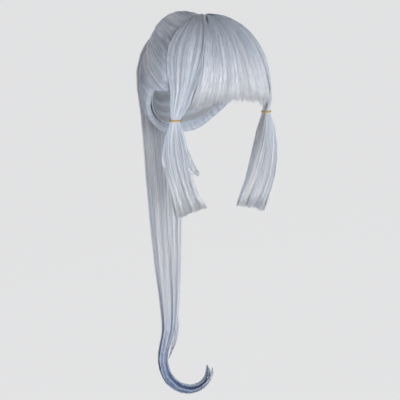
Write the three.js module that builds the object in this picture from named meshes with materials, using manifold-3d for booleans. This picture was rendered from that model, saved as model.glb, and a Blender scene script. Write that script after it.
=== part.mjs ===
// Ponytail wig: a fitted cap with a straight fringe, two tied side locks and a long ponytail.
// Millimetres. +Z is up, the wearer faces -Y, and the origin is the inside top of the cap.
import * as THREE from 'three';
import Module from 'manifold-3d';

const wasm = await Module();
wasm.setup();

// Half sizes of the dome shapes: inside of the cap, outside of the front hair and of the back hair.
// A roundness of 1 is an ellipsoid and less is fuller.
const CAP_INSIDE = { side: 77, length: 96, height: 104, roundness: 0.95 };
const FRONT_HAIR = { side: 93.5, length: 113.2, height: 119.5, roundness: 0.9 };
const BACK_HAIR = { side: 93, length: 122, height: 113.5, roundness: 0.95 };
const CAP_WALL = 1.7;
const PIECE_GAP = 0.3;

// Room between the cap and the hair on it, enough for the flat facets of both
const HAIR_CLEARANCE = 1.4;

// Number of facets round and down the cap
const CAP_COLUMNS = 36;
const CAP_ROWS = 8;

// Hem of the cap: height below the crown at each azimuth from the face, the same on both sides
const CAP_HEM = [
  { azimuth: 0, level: -44 },
  { azimuth: 35, level: -52 },
  { azimuth: 62, level: -84 },
  { azimuth: 78, level: -96 },
  { azimuth: 98, level: -92 },
  { azimuth: 122, level: -124 },
  { azimuth: 150, level: -156 },
  { azimuth: 180, level: -164 },
];

// Hem of the swept back hair, a little below the cap's hem behind the ear and at the nape
const BACK_HEM = [
  { azimuth: 60, level: -82 },
  { azimuth: 78, level: -94 },
  { azimuth: 98, level: -97 },
  { azimuth: 112, level: -118 },
  { azimuth: 130, level: -146 },
  { azimuth: 152, level: -168 },
  { azimuth: 180, level: -174 },
];

// Parting between the side locks and the swept back hair: azimuth at each angle below the crown
const PARTING = [
  { drop: 3, azimuth: 165 },
  { drop: 6.5, azimuth: 130 },
  { drop: 11, azimuth: 106 },
  { drop: 19, azimuth: 91 },
  { drop: 30, azimuth: 84.5 },
  { drop: 48, azimuth: 84.5 },
  { drop: 60, azimuth: 81 },
  { drop: 70, azimuth: 77 },
  { drop: 80, azimuth: 72.5 },
  { drop: 86, azimuth: 70 },
];

// Swept back hair: where it gathers, how thick its edges are, and the puffed crown behind the parting
const GATHER_DROP = 60;
const GATHER_HOLE = 16;
const GATHER_MOUND = 26;
const BACK_LOCKS = 28;
const BACK_SAMPLES = 3;
const BACK_LOCK_RELIEF = 1.8;
const BACK_ROWS = [0.1, 0.24, 0.4, 0.56, 0.72, 0.86, 0.95, 1];
const BACK_EDGE_DEPTH = { crown: 0.62, nape: 0.5 };
const BACK_EDGE_ROLL = 20;
const BACK_EDGE_RELIEF = 0.4;
const GATHER_SKIRT = 10;
const REACH = { starts: 20, step: 0.5 };
const POUF_HEIGHT = 24.5;
const POUF_DROPS = { starts: 15, full: 35, fades: 36, ends: 70.5 };
const POUF_HALF_WIDTH = 31.5;

// Fringe: half spread in azimuth at each angle below the crown
const FRINGE_SPREAD = [
  { drop: 1.5, azimuth: 36 },
  { drop: 10, azimuth: 36.5 },
  { drop: 42, azimuth: 35 },
  { drop: 60, azimuth: 36.5 },
  { drop: 74, azimuth: 38.5 },
  { drop: 85, azimuth: 44 },
  { drop: 96, azimuth: 50 },
];
const FRINGE_LOCKS = 16;
const FRINGE_SAMPLES = 3;
const FRINGE_LOCK_RELIEF = 1.3;
const FRINGE_ROWS = [0, 0.1, 0.24, 0.4, 0.56, 0.72, 0.86, 0.95, 1];
const FRINGE_TOP_DROP = 1.5;
const FRINGE_END_DROP = 88.6;
const FRINGE_CORNER_EXTRA = 5.2;
const FRINGE_END_JITTER = 1.5;
const FRINGE_END_NOTCH = 1.4;
const FRINGE_TOP_FADE = 0.25;
const FRINGE_THINNING = { starts: 0.45, outside: 0.16, inside: 0.5 };

// Side locks above the tie: azimuth of the front and rear edge at each angle below the crown
const SIDE_SHEET = [
  { drop: 2, front: 48, rear: 160 },
  { drop: 6.5, front: 40, rear: 124 },
  { drop: 11, front: 38.4, rear: 101 },
  { drop: 19, front: 37.5, rear: 88.4 },
  { drop: 34, front: 36.2, rear: 83 },
  { drop: 50, front: 36.6, rear: 82.8 },
  { drop: 64, front: 38.2, rear: 78 },
  { drop: 76, front: 40.8, rear: 72.6 },
  { drop: 85, front: 46, rear: 68 },
];
const SIDE_LOCKS = 7;
const SIDE_SAMPLES = 2;
const SIDE_LOCK_RELIEF = 1.1;
const SIDE_REAR_ROLL = { starts: 0.72, depth: 0.45 };
const SIDE_END_JITTER = 3.2;
const SIDE_EDGE_MARGIN = 0.12;

// Hanging part of the side locks, a row for each section: x outwards, y, z, half sizes, facing azimuth
const RIGHT_LOCK = [
  { out: 75.5, fore: -54.5, level: -112, width: 15.5, depth: 7.5, facing: 57 },
  { out: 78, fore: -51, level: -123, width: 10.4, depth: 6.8, facing: 50 },
  { out: 79.5, fore: -48.5, level: -133.5, width: 7.4, depth: 6.2, facing: 42 },
  { out: 80, fore: -48, level: -141, width: 9.4, depth: 7.2, facing: 38 },
  { out: 81, fore: -48, level: -157, width: 15, depth: 9.5, facing: 30 },
  { out: 81, fore: -48.5, level: -178, width: 19.5, depth: 11.5, facing: 24 },
  { out: 78.5, fore: -49, level: -200, width: 20.5, depth: 12.5, facing: 18 },
  { out: 73.5, fore: -50, level: -223, width: 20, depth: 12.5, facing: 14 },
  { out: 67, fore: -51, level: -245, width: 21, depth: 12, facing: 10 },
  { out: 60, fore: -52, level: -263, width: 24, depth: 10.5, facing: 8 },
  { out: 55.5, fore: -52.5, level: -273, width: 26.5, depth: 8.5, facing: 8 },
];
const LEFT_LOCK = [
  { out: 75.5, fore: -54.5, level: -112, width: 15.5, depth: 7.5, facing: 57 },
  { out: 77.5, fore: -51, level: -122, width: 10.4, depth: 6.8, facing: 50 },
  { out: 78, fore: -48.5, level: -132, width: 7.4, depth: 6.2, facing: 42 },
  { out: 77.5, fore: -48, level: -140, width: 11, depth: 8.4, facing: 38 },
  { out: 77.5, fore: -48, level: -156, width: 17.5, depth: 11, facing: 30 },
  { out: 76.5, fore: -48.5, level: -176, width: 22, depth: 13, facing: 24 },
  { out: 73.5, fore: -49, level: -200, width: 26.5, depth: 14, facing: 18 },
  { out: 68.5, fore: -50, level: -226, width: 28.5, depth: 14, facing: 14 },
  { out: 60.5, fore: -51, level: -248, width: 29.2, depth: 13, facing: 10 },
  { out: 53, fore: -52, level: -266, width: 29.5, depth: 11, facing: 8 },
  { out: 50, fore: -52.5, level: -274, width: 28.5, depth: 8.5, facing: 8 },
];
const LOCK_TIE_ROW = 2;
const RIGHT_END_SLANT = 7;
const LEFT_END_SLANT = 5;

// Short layered wisps that leave the right lock below its tie: sections of x outwards, y, z and radius
const RIGHT_WISPS = [
  [
    { out: 84, fore: -46, level: -150, radius: 6 },
    { out: 92, fore: -45, level: -175, radius: 8 },
    { out: 94, fore: -45, level: -195, radius: 6.5 },
    { out: 91, fore: -45, level: -213, radius: 1.2 },
  ],
  [
    { out: 74, fore: -54, level: -160, radius: 5 },
    { out: 63, fore: -58, level: -184, radius: 6 },
    { out: 53, fore: -62, level: -202, radius: 4.5 },
    { out: 42, fore: -66, level: -217, radius: 1 },
  ],
];

// Gold elastic on each side lock
const TIE_RADIUS = 1.2;
const TIE_STEPS = 20;
const TIE_SIDES = 6;

// Root of the ponytail, straight out of the cap: distance from the inside of the cap and radius
const PONYTAIL_ROOT = [
  { along: 2.6, radius: 15 },
  { along: 22, radius: 14.4 },
  { along: 28, radius: 12.8 },
  { along: 34, radius: 12.6 },
  { along: 40, radius: 13 },
];

// Rings between two rows of a bundle, and sides of a small wisp
const BUNDLE_SUBSTEPS = 2;
const WISP_SIDES = 6;

// Ponytail beyond its root, a row for each section of its path: x, y, z and half sizes
const PONYTAIL = [
  { x: 0, y: 129, z: -34.5, width: 18, depth: 14 },
  { x: 0, y: 139, z: -46, width: 26, depth: 16 },
  { x: 0, y: 146, z: -64.5, width: 33.5, depth: 18 },
  { x: 0, y: 150, z: -90, width: 37, depth: 19.5 },
  { x: 0, y: 148, z: -118, width: 36.5, depth: 20 },
  { x: 0, y: 143.5, z: -152, width: 32.5, depth: 20 },
  { x: 0, y: 137, z: -202, width: 30, depth: 19 },
  { x: 0, y: 131, z: -262, width: 28, depth: 18 },
  { x: 0, y: 124, z: -332, width: 25.5, depth: 16 },
  { x: 0, y: 118, z: -402, width: 20.5, depth: 14 },
  { x: 1, y: 115, z: -456, width: 15.5, depth: 12 },
  { x: -1, y: 113.5, z: -502, width: 10.5, depth: 9.5 },
  { x: -11, y: 113, z: -530, width: 7.8, depth: 8 },
  { x: -13, y: 113, z: -554, width: 7.2, depth: 7.6 },
  { x: -3, y: 112.5, z: -580, width: 7.6, depth: 7.6 },
  { x: 16, y: 112, z: -597, width: 7.6, depth: 7.4 },
  { x: 40, y: 111.5, z: -604, width: 7, depth: 6.8 },
  { x: 63, y: 111, z: -598, width: 5.8, depth: 5.6 },
  { x: 71, y: 110.5, z: -583, width: 4.6, depth: 4.4 },
  { x: 67, y: 110, z: -567, width: 1, depth: 1 },
];
const PONYTAIL_LOCKS = 11;
const PONYTAIL_SAMPLES = 2;
const PONYTAIL_RELIEF = 0.16;
const PONYTAIL_FREE = { starts: 0.17, full: 0.35 };

// Wisps that leave the lower end of the ponytail
const PONYTAIL_WISPS = [
  [
    { x: 6, y: 114, z: -456, radius: 6 },
    { x: 12, y: 114, z: -490, radius: 5.5 },
    { x: 9, y: 114, z: -520, radius: 3.6 },
    { x: -2, y: 113.5, z: -548, radius: 1 },
  ],
  [
    { x: 48, y: 111.5, z: -603, radius: 4.5 },
    { x: 68, y: 110, z: -595, radius: 4 },
    { x: 76, y: 109, z: -583, radius: 2.6 },
    { x: 76, y: 108, z: -572, radius: 0.8 },
  ],
];

// Band round the root of the ponytail
const BAND_START = 27.2;
const BAND_HEIGHT = 7.4;
const BAND_INNER_RADIUS = 15.6;
const BAND_THICKNESS = 3;
const BAND_STEPS = 24;
const BAND_SIDES = 8;

// Locks differ in height by this share, and sink by this share of the relief between them
const LOCK_VARIETY = 0.45;
const LOCK_GROOVE = 0.5;

// Repeatable scatter: factors of its wave and a salt for each use
const SCATTER = { number: 127.1, salt: 311.7, gain: 43758.5453 };
const SALT = { back: 0, fringeEnd: 3, fringe: 5, sheet: 7, lock: 9, lockEnd: 11, ponytail: 13 };

const HAIR = { color: 0xb4bfcf, roughness: 0.45 };
const NET = { color: 0xb9b6b4, roughness: 0.9 };
const GOLD = { color: 0xc79a3a, roughness: 0.5 };

const CROWN_CENTRE = -CAP_INSIDE.height;
const CAP_OUTSIDE = grow(CAP_INSIDE, CAP_WALL);
const HAIR_INSIDE = grow(CAP_INSIDE, CAP_WALL + HAIR_CLEARANCE);

// Angle in radians from degrees
function radians(degrees) {
  return THREE.MathUtils.degToRad(degrees);
}

// A dome with every half size grown by the same length
function grow(dome, by) {
  return { ...dome, side: dome.side + by, length: dome.length + by, height: dome.height + by };
}

// A dome between two others, at share 0 to 1
function between(dome, other, share) {
  return {
    side: THREE.MathUtils.lerp(dome.side, other.side, share),
    length: THREE.MathUtils.lerp(dome.length, other.length, share),
    height: THREE.MathUtils.lerp(dome.height, other.height, share),
    roundness: THREE.MathUtils.lerp(dome.roundness, other.roundness, share),
  };
}

// Direction from the middle of the head, azimuth from the face towards +X and drop from the crown
function direction(azimuth, drop) {
  const across = Math.sin(radians(drop));
  return new THREE.Vector3(
    across * Math.sin(radians(azimuth)),
    -across * Math.cos(radians(azimuth)),
    Math.cos(radians(drop)),
  );
}

// Point of a dome in a given direction
function onDome(dome, toward) {
  const across = Math.hypot(toward.x, toward.y);
  const widen = across === 0 ? 0 : across ** (dome.roundness - 1);
  const up = Math.sign(toward.z) * Math.abs(toward.z) ** dome.roundness;
  return new THREE.Vector3(
    dome.side * toward.x * widen,
    dome.length * toward.y * widen,
    CROWN_CENTRE + dome.height * up,
  );
}

// Outward normal of a dome in a given direction
function domeNormal(dome, toward) {
  return new THREE.Vector3(toward.x / dome.side, toward.y / dome.length, toward.z / dome.height).normalize();
}

// All columns of a table at a value of its key column, on a smooth curve through the rows
function rowAt(table, key, value) {
  const last = table.length - 1;
  const clamped = THREE.MathUtils.clamp(value, table[0][key], table[last][key]);
  let start = 0;
  while (start < last - 1 && table[start + 1][key] < clamped) start += 1;
  const near = [start - 1, start, start + 1, start + 2];
  const rows = near.map((row) => table[THREE.MathUtils.clamp(row, 0, last)]);
  const step = rows[2][key] - rows[1][key];
  const t = (clamped - rows[1][key]) / step;
  const slope = (before, after, column) => {
    const run = after[key] - before[key];
    return run === 0 ? 0 : ((after[column] - before[column]) / run) * step;
  };
  const result = {};
  for (const column of Object.keys(rows[1])) {
    const leave = slope(rows[0], rows[2], column);
    const arrive = slope(rows[1], rows[3], column);
    const rise = rows[2][column] - rows[1][column];
    result[column] = rows[1][column] + leave * t
      + (3 * rise - 2 * leave - arrive) * t * t
      + (leave + arrive - 2 * rise) * t * t * t;
  }
  return result;
}

// Repeatable scatter from -1 to 1 for a lock's number
function scatter(number, salt) {
  const wave = Math.sin(number * SCATTER.number + salt * SCATTER.salt) * SCATTER.gain;
  return 2 * (wave - Math.floor(wave)) - 1;
}

// Relief of a row of locks at sample number: grooves between locks, each lock of its own height
function lockRelief(sample, samplesPerLock, salt) {
  const within = (sample % samplesPerLock) / samplesPerLock;
  const lock = Math.floor(sample / samplesPerLock);
  return Math.sin(Math.PI * within) * (1 + LOCK_VARIETY * scatter(lock, salt)) - LOCK_GROOVE;
}

// Triangles with shared corners, closed by the way they are added
class Skin {
  constructor() {
    this.corners = [];
    this.faces = [];
    this.numbers = new Map();
  }

  corner(point) {
    const key = point.toArray().map((value) => value.toFixed(3)).join(' ');
    if (!this.numbers.has(key)) {
      this.numbers.set(key, this.corners.length);
      this.corners.push(point);
    }
    return this.numbers.get(key);
  }

  triangle(a, b, c) {
    const [first, second, third] = [this.corner(a), this.corner(b), this.corner(c)];
    if (first === second || second === third || third === first) return;
    this.faces.push([first, second, third]);
  }

  quad(a, b, c, d) {
    this.triangle(a, b, c);
    this.triangle(a, c, d);
  }

  // Faces turned so that the enclosed volume is positive, as a geometry
  geometry() {
    const volume = this.faces.reduce((sum, [a, b, c]) => {
      const cross = new THREE.Vector3().crossVectors(this.corners[b], this.corners[c]);
      return sum + this.corners[a].dot(cross) / 6;
    }, 0);
    const faces = volume < 0 ? this.faces.map(([a, b, c]) => [a, c, b]) : this.faces;
    const geometry = new THREE.BufferGeometry();
    const positions = this.corners.flatMap((point) => point.toArray());
    geometry.setAttribute('position', new THREE.Float32BufferAttribute(positions, 3));
    geometry.setIndex(faces.flat());
    return geometry;
  }
}

// Closed wall between an outer and an inner grid whose columns run all the way round
function wallAround(outer, inner) {
  const skin = new Skin();
  const columns = outer[0].length;
  const last = outer.length - 1;
  for (let column = 0; column < columns; column += 1) {
    const next = (column + 1) % columns;
    for (let row = 0; row < last; row += 1) {
      skin.quad(outer[row][column], outer[row][next], outer[row + 1][next], outer[row + 1][column]);
      skin.quad(inner[row][column], inner[row + 1][column], inner[row + 1][next], inner[row][next]);
    }
    skin.quad(outer[last][column], outer[last][next], inner[last][next], inner[last][column]);
    skin.quad(outer[0][column], inner[0][column], inner[0][next], outer[0][next]);
  }
  return skin.geometry();
}

// Closed loft through rings whose first half is the outer side and whose second half comes back inside
function loftRings(rings) {
  const skin = new Skin();
  const count = rings[0].length;
  for (let ring = 0; ring < rings.length - 1; ring += 1) {
    for (let point = 0; point < count; point += 1) {
      const next = (point + 1) % count;
      skin.quad(rings[ring][point], rings[ring][next], rings[ring + 1][next], rings[ring + 1][point]);
    }
  }
  const first = rings[0];
  const last = rings[rings.length - 1];
  for (let point = 0; point < count / 2 - 1; point += 1) {
    const mate = count - 1 - point;
    skin.quad(first[point], first[mate], first[mate - 1], first[point + 1]);
    skin.quad(last[point], last[point + 1], last[mate - 1], last[mate]);
  }
  return skin.geometry();
}

// Solid for joining, from a closed geometry with shared corners
function solid(geometry) {
  return new wasm.Manifold(new wasm.Mesh({
    numProp: 3,
    vertProperties: new Float32Array(geometry.getAttribute('position').array),
    triVerts: new Uint32Array(geometry.getIndex().array),
  }));
}

// One geometry from closed geometries that overlap
function fuse(geometries) {
  const mesh = geometries.map(solid).reduce((whole, piece) => whole.add(piece)).getMesh();
  const geometry = new THREE.BufferGeometry();
  geometry.setAttribute('position', new THREE.Float32BufferAttribute(mesh.vertProperties, 3));
  geometry.setIndex(Array.from(mesh.triVerts));
  return geometry;
}

// Angle below the crown of a hem table's level on the inside of the cap
function hemDrop(hem, azimuth) {
  const level = rowAt(hem, 'azimuth', Math.abs(azimuth)).level;
  const up = (level - CROWN_CENTRE) / CAP_INSIDE.height;
  return THREE.MathUtils.radToDeg(Math.acos(Math.sign(up) * Math.abs(up) ** (1 / CAP_INSIDE.roundness)));
}

// Fitted cap: a thin dome, open below
function wigCap() {
  const outer = [];
  const inner = [];
  for (let row = 0; row <= CAP_ROWS; row += 1) {
    const line = Array.from({ length: CAP_COLUMNS }, (_, column) => {
      const azimuth = (360 * column) / CAP_COLUMNS - 180;
      return direction(azimuth, (hemDrop(CAP_HEM, azimuth) * row) / CAP_ROWS);
    });
    outer.push(line.map((toward) => onDome(CAP_OUTSIDE, toward)));
    inner.push(line.map((toward) => onDome(CAP_INSIDE, toward)));
  }
  return wallAround(outer, inner);
}

// Axis of the ponytail's root: the point on the cap, the way out of it and the way up beside it
const GATHER = direction(180, GATHER_DROP);
const GATHER_POINT = onDome(CAP_INSIDE, GATHER);
const GATHER_OUT = domeNormal(CAP_INSIDE, GATHER);
const GATHER_UP = new THREE.Vector3(0, -GATHER_OUT.z, GATHER_OUT.y);
const SIDEWAYS = new THREE.Vector3(1, 0, 0);

// Point round the root's axis at a distance along it, a radius and an angle from the upward side
function roundGather(along, radius, angle) {
  return GATHER_POINT.clone()
    .addScaledVector(GATHER_OUT, along)
    .addScaledVector(GATHER_UP, radius * Math.cos(angle))
    .addScaledVector(SIDEWAYS, radius * Math.sin(angle));
}

// Direction on the head reached from the root at an angle round it after turning by an arc
function fromGather(angle, arc) {
  const crownward = direction(180, GATHER_DROP - 90);
  return GATHER.clone().multiplyScalar(Math.cos(arc))
    .addScaledVector(crownward, Math.sin(arc) * Math.cos(angle))
    .addScaledVector(SIDEWAYS, Math.sin(arc) * Math.sin(angle));
}

// Whether a direction lies in the swept back hair
function isSweptBack(toward) {
  const drop = THREE.MathUtils.radToDeg(Math.acos(THREE.MathUtils.clamp(toward.z, -1, 1)));
  const azimuth = Math.abs(THREE.MathUtils.radToDeg(Math.atan2(toward.x, -toward.y)));
  if (drop < PARTING[0].drop) return false;
  return azimuth > rowAt(PARTING, 'drop', drop).azimuth && drop < hemDrop(BACK_HEM, azimuth);
}

// Arc from the root to the edge of the swept back hair at an angle round the root
function sweptReach(angle) {
  const step = radians(REACH.step);
  let arc = radians(REACH.starts);
  while (isSweptBack(fromGather(angle, arc + step))) arc += step;
  return arc;
}

// Extra height of the puffed crown in a direction
function pouf(toward) {
  const drop = THREE.MathUtils.radToDeg(Math.atan2(toward.y, toward.z));
  const aside = THREE.MathUtils.radToDeg(Math.asin(toward.x)) / POUF_HALF_WIDTH;
  const rise = THREE.MathUtils.smoothstep(drop, POUF_DROPS.starts, POUF_DROPS.full);
  const fall = 1 - THREE.MathUtils.smoothstep(drop, POUF_DROPS.fades, POUF_DROPS.ends);
  return POUF_HEIGHT * rise * fall * Math.exp(-aside * aside);
}

// Hair combed from the parting, the temples and the nape to the root of the ponytail
function sweptBack() {
  const columns = BACK_LOCKS * BACK_SAMPLES;
  const angles = Array.from({ length: columns }, (_, column) => (2 * Math.PI * column) / columns);
  const reaches = angles.map(sweptReach);
  const outer = [angles.map((angle) => roundGather(GATHER_MOUND, GATHER_HOLE, angle))];
  const inner = [angles.map((angle) => roundGather(CAP_WALL + HAIR_CLEARANCE, GATHER_HOLE, angle))];
  const start = radians(GATHER_SKIRT);
  for (const share of BACK_ROWS) {
    const outerLine = [];
    const innerLine = [];
    angles.forEach((angle, column) => {
      const arc = THREE.MathUtils.lerp(start, reaches[column], share);
      const toward = fromGather(angle, arc);
      const toEdge = (reaches[column] - arc) * BACK_HAIR.side;
      const full = THREE.MathUtils.smoothstep(toEdge, 0, BACK_EDGE_ROLL);
      const upper = THREE.MathUtils.smoothstep(toward.z, -1, 1);
      const edge = THREE.MathUtils.lerp(BACK_EDGE_DEPTH.nape, BACK_EDGE_DEPTH.crown, upper);
      const fade = THREE.MathUtils.lerp(BACK_EDGE_RELIEF, 1, full);
      const relief = BACK_LOCK_RELIEF * lockRelief(column, BACK_SAMPLES, SALT.back) * fade;
      const form = between(HAIR_INSIDE, BACK_HAIR, THREE.MathUtils.lerp(edge, 1, full));
      const lift = relief + pouf(toward) * full;
      outerLine.push(onDome(form, toward).addScaledVector(domeNormal(form, toward), lift));
      innerLine.push(onDome(HAIR_INSIDE, toward));
    });
    outer.push(outerLine);
    inner.push(innerLine);
  }
  return wallAround(outer, inner);
}

// Straight fringe that fans out from the crown and ends in an uneven blunt line
function fringe() {
  const columns = FRINGE_LOCKS * FRINGE_SAMPLES + 1;
  const rings = FRINGE_ROWS.map((share) => {
    const outer = [];
    const inner = [];
    for (let column = 0; column < columns; column += 1) {
      const across = (2 * column) / (columns - 1) - 1;
      const lock = Math.floor(column / FRINGE_SAMPLES);
      const notch = column % FRINGE_SAMPLES === 0 ? FRINGE_END_NOTCH : 0;
      const end = FRINGE_END_DROP + FRINGE_CORNER_EXTRA * across * across
        + FRINGE_END_JITTER * scatter(lock, SALT.fringeEnd) - notch;
      const drop = THREE.MathUtils.lerp(FRINGE_TOP_DROP, end, share);
      const toward = direction(across * rowAt(FRINGE_SPREAD, 'drop', drop).azimuth, drop);
      const thin = THREE.MathUtils.smoothstep(share, FRINGE_THINNING.starts, 1);
      const outside = between(FRONT_HAIR, HAIR_INSIDE, FRINGE_THINNING.outside * thin);
      const inside = between(HAIR_INSIDE, FRONT_HAIR, FRINGE_THINNING.inside * thin);
      const fade = Math.min(1, share / FRINGE_TOP_FADE);
      const relief = FRINGE_LOCK_RELIEF * lockRelief(column, FRINGE_SAMPLES, SALT.fringe) * fade;
      outer.push(onDome(outside, toward).addScaledVector(domeNormal(outside, toward), relief));
      inner.unshift(onDome(inside, toward));
    }
    return [...outer, ...inner];
  });
  return loftRings(rings);
}

// Ring of a side lock where it lies on the head, from its front edge to its rear edge and back inside
function sheetRing(row, sign) {
  const samples = SIDE_SAMPLES * SIDE_LOCKS + 1;
  const outer = [];
  const inner = [];
  for (let sample = 0; sample < samples; sample += 1) {
    const share = sample / (samples - 1);
    const toward = direction(sign * THREE.MathUtils.lerp(row.front, row.rear, share), row.drop);
    const fade = Math.sin(radians(row.drop));
    const relief = SIDE_LOCK_RELIEF * lockRelief(sample, SIDE_SAMPLES, SALT.sheet) * fade;
    const roll = SIDE_REAR_ROLL.depth * THREE.MathUtils.smoothstep(share, SIDE_REAR_ROLL.starts, 1);
    const form = between(FRONT_HAIR, HAIR_INSIDE, roll);
    outer.push(onDome(form, toward).addScaledVector(domeNormal(form, toward), relief));
    inner.unshift(onDome(HAIR_INSIDE, toward));
  }
  return [...outer, ...inner];
}

// Ring of a side lock where it hangs free: a grooved oval that faces outwards
function lockRing(row, sign, jag) {
  const samples = SIDE_SAMPLES * SIDE_LOCKS + 1;
  const facing = radians(row.facing);
  const outward = new THREE.Vector3(sign * Math.sin(facing), -Math.cos(facing), 0);
  const rearward = new THREE.Vector3(sign * Math.cos(facing), Math.sin(facing), 0);
  const centre = new THREE.Vector3(sign * row.out, row.fore, row.level);
  const side = (turn) => Array.from({ length: samples }, (_, sample) => {
    const share = sample / (samples - 1);
    const way = turn > 0 ? share : 1 - share;
    const angle = turn * THREE.MathUtils.lerp(Math.PI - SIDE_EDGE_MARGIN, SIDE_EDGE_MARGIN, way);
    const depth = SIDE_LOCK_RELIEF * lockRelief(sample, SIDE_SAMPLES, SALT.lock + turn);
    const groove = 1 + depth / (row.width + row.depth);
    return centre.clone()
      .addScaledVector(rearward, row.width * groove * Math.cos(angle))
      .addScaledVector(outward, row.depth * groove * Math.sin(angle))
      .add(new THREE.Vector3(0, 0, jag(sample, Math.cos(angle))));
  });
  return [...side(1), ...side(-1)];
}

// Closed bundle of hair along its rows, with a relief that may groove each point of its rings
function bundle(rows, sides, relief) {
  const points = rows.map((row) => new THREE.Vector3(row.x, row.y, row.z));
  const curve = new THREE.CatmullRomCurve3(points, false, 'centripetal');
  const numbered = rows.map((row, number) => ({ number, width: row.width, depth: row.depth }));
  const steps = BUNDLE_SUBSTEPS * (rows.length - 1);
  let aside = SIDEWAYS;
  const rings = Array.from({ length: steps + 1 }, (_, step) => {
    const share = step / steps;
    const along = curve.getTangent(share);
    aside = aside.clone().addScaledVector(along, -aside.dot(along)).normalize();
    const across = new THREE.Vector3().crossVectors(along, aside);
    const size = rowAt(numbered, 'number', share * (rows.length - 1));
    const centre = curve.getPoint(share);
    return Array.from({ length: sides }, (__, point) => {
      const angle = (2 * Math.PI * point) / sides;
      const groove = 1 + relief(point, share);
      return centre.clone()
        .addScaledVector(aside, size.width * groove * Math.cos(angle))
        .addScaledVector(across, size.depth * groove * Math.sin(angle));
    });
  });
  return loftRings(rings);
}

// Smooth tapered wisp along rows of places and radii
function wisp(rows) {
  const round = rows.map((row) => ({ ...row, width: row.radius, depth: row.radius }));
  return bundle(round, WISP_SIDES, () => 0);
}

// Side lock: a sheet on the head that gathers into its tie and hangs free to a slanted uneven end
function sideLock(rows, sign, slant, wisps) {
  const last = rows[rows.length - 1];
  const level = () => 0;
  const uneven = (sample, across) => SIDE_END_JITTER * scatter(sample, SALT.lockEnd + sign) - slant * across;
  const rings = [
    ...SIDE_SHEET.map((row) => sheetRing(row, sign)),
    ...rows.slice(0, -1).map((row) => lockRing(row, sign, level)),
    lockRing(last, sign, uneven),
  ];
  const placed = wisps.map((table) => table.map((row) => (
    { x: sign * row.out, y: row.fore, z: row.level, radius: row.radius }
  )));
  return fuse([loftRings(rings), ...placed.map(wisp)]);
}

// Elastic round a side lock's tie section
function lockTie(row, sign) {
  const facing = radians(row.facing);
  const outward = new THREE.Vector3(sign * Math.sin(facing), -Math.cos(facing), 0);
  const rearward = new THREE.Vector3(sign * Math.cos(facing), Math.sin(facing), 0);
  const centre = new THREE.Vector3(sign * row.out, row.fore, row.level);
  const clear = TIE_RADIUS + 2 * PIECE_GAP + SIDE_LOCK_RELIEF / 2;
  const path = Array.from({ length: TIE_STEPS }, (_, step) => {
    const angle = (2 * Math.PI * step) / TIE_STEPS;
    return centre.clone()
      .addScaledVector(rearward, (row.width + clear) * Math.cos(angle))
      .addScaledVector(outward, (row.depth + clear) * Math.sin(angle));
  });
  const skin = new Skin();
  const rings = path.map((point) => {
    const away = point.clone().sub(centre).normalize();
    return Array.from({ length: TIE_SIDES }, (_, side) => {
      const angle = (2 * Math.PI * side) / TIE_SIDES;
      return point.clone()
        .addScaledVector(away, TIE_RADIUS * Math.cos(angle))
        .add(new THREE.Vector3(0, 0, TIE_RADIUS * Math.sin(angle)));
    });
  });
  rings.forEach((ring, step) => {
    const following = rings[(step + 1) % TIE_STEPS];
    ring.forEach((point, side) => {
      const next = (side + 1) % TIE_SIDES;
      skin.quad(point, following[side], following[next], ring[next]);
    });
  });
  return skin.geometry();
}

// Ponytail: one grooved bundle along its path with a few free wisps at the end
function ponytail() {
  const root = PONYTAIL_ROOT.map((row) => {
    const { x, y, z } = roundGather(row.along, 0, 0);
    return { x, y, z, width: row.radius, depth: row.radius };
  });
  const relief = (point, share) => {
    const free = THREE.MathUtils.smoothstep(share, PONYTAIL_FREE.starts, PONYTAIL_FREE.full);
    return PONYTAIL_RELIEF * free * lockRelief(point, PONYTAIL_SAMPLES, SALT.ponytail);
  };
  const main = bundle([...root, ...PONYTAIL], PONYTAIL_LOCKS * PONYTAIL_SAMPLES, relief);
  return fuse([main, ...PONYTAIL_WISPS.map(wisp)]);
}

// Plain band wound round the root of the ponytail
function ponytailTie() {
  const half = BAND_HEIGHT / 2;
  const rings = Array.from({ length: BAND_SIDES }, (_, side) => {
    const angle = (2 * Math.PI * side) / BAND_SIDES;
    const radius = BAND_INNER_RADIUS + BAND_THICKNESS / 2 * (1 + Math.cos(angle));
    const along = BAND_START + half * (1 + Math.sin(angle));
    return Array.from({ length: BAND_STEPS }, (__, step) => {
      return roundGather(along, radius, (2 * Math.PI * step) / BAND_STEPS);
    });
  });
  const skin = new Skin();
  rings.forEach((ring, side) => {
    const following = rings[(side + 1) % BAND_SIDES];
    ring.forEach((point, step) => {
      const next = (step + 1) % BAND_STEPS;
      skin.quad(point, ring[next], following[next], following[step]);
    });
  });
  return skin.geometry();
}

// Named mesh with a finish of its own
function piece(name, geometry, finish) {
  geometry.computeVertexNormals();
  const mesh = new THREE.Mesh(geometry, new THREE.MeshStandardMaterial(finish));
  mesh.name = name;
  return mesh;
}

const RIGHT = -1;
const LEFT = 1;
const wig = new THREE.Group();
wig.add(
  piece('wig_cap', wigCap(), NET),
  piece('swept_back', sweptBack(), HAIR),
  piece('fringe', fringe(), HAIR),
  piece('side_lock_right', sideLock(RIGHT_LOCK, RIGHT, RIGHT_END_SLANT, RIGHT_WISPS), HAIR),
  piece('side_lock_left', sideLock(LEFT_LOCK, LEFT, LEFT_END_SLANT, []), HAIR),
  piece('tie_right', lockTie(RIGHT_LOCK[LOCK_TIE_ROW], RIGHT), GOLD),
  piece('tie_left', lockTie(LEFT_LOCK[LOCK_TIE_ROW], LEFT), GOLD),
  piece('ponytail', ponytail(), HAIR),
  piece('ponytail_tie', ponytailTie(), HAIR),
);

export default wig;
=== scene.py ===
"""Looks of a ponytail wig: strands of satin fibre combed over the frame's hair solids.

Lengths are millimetres until a mesh is made. +Z is up, the front is at -Y, the left side is at +X and
the origin is the inside top of the cap.
"""

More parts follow.
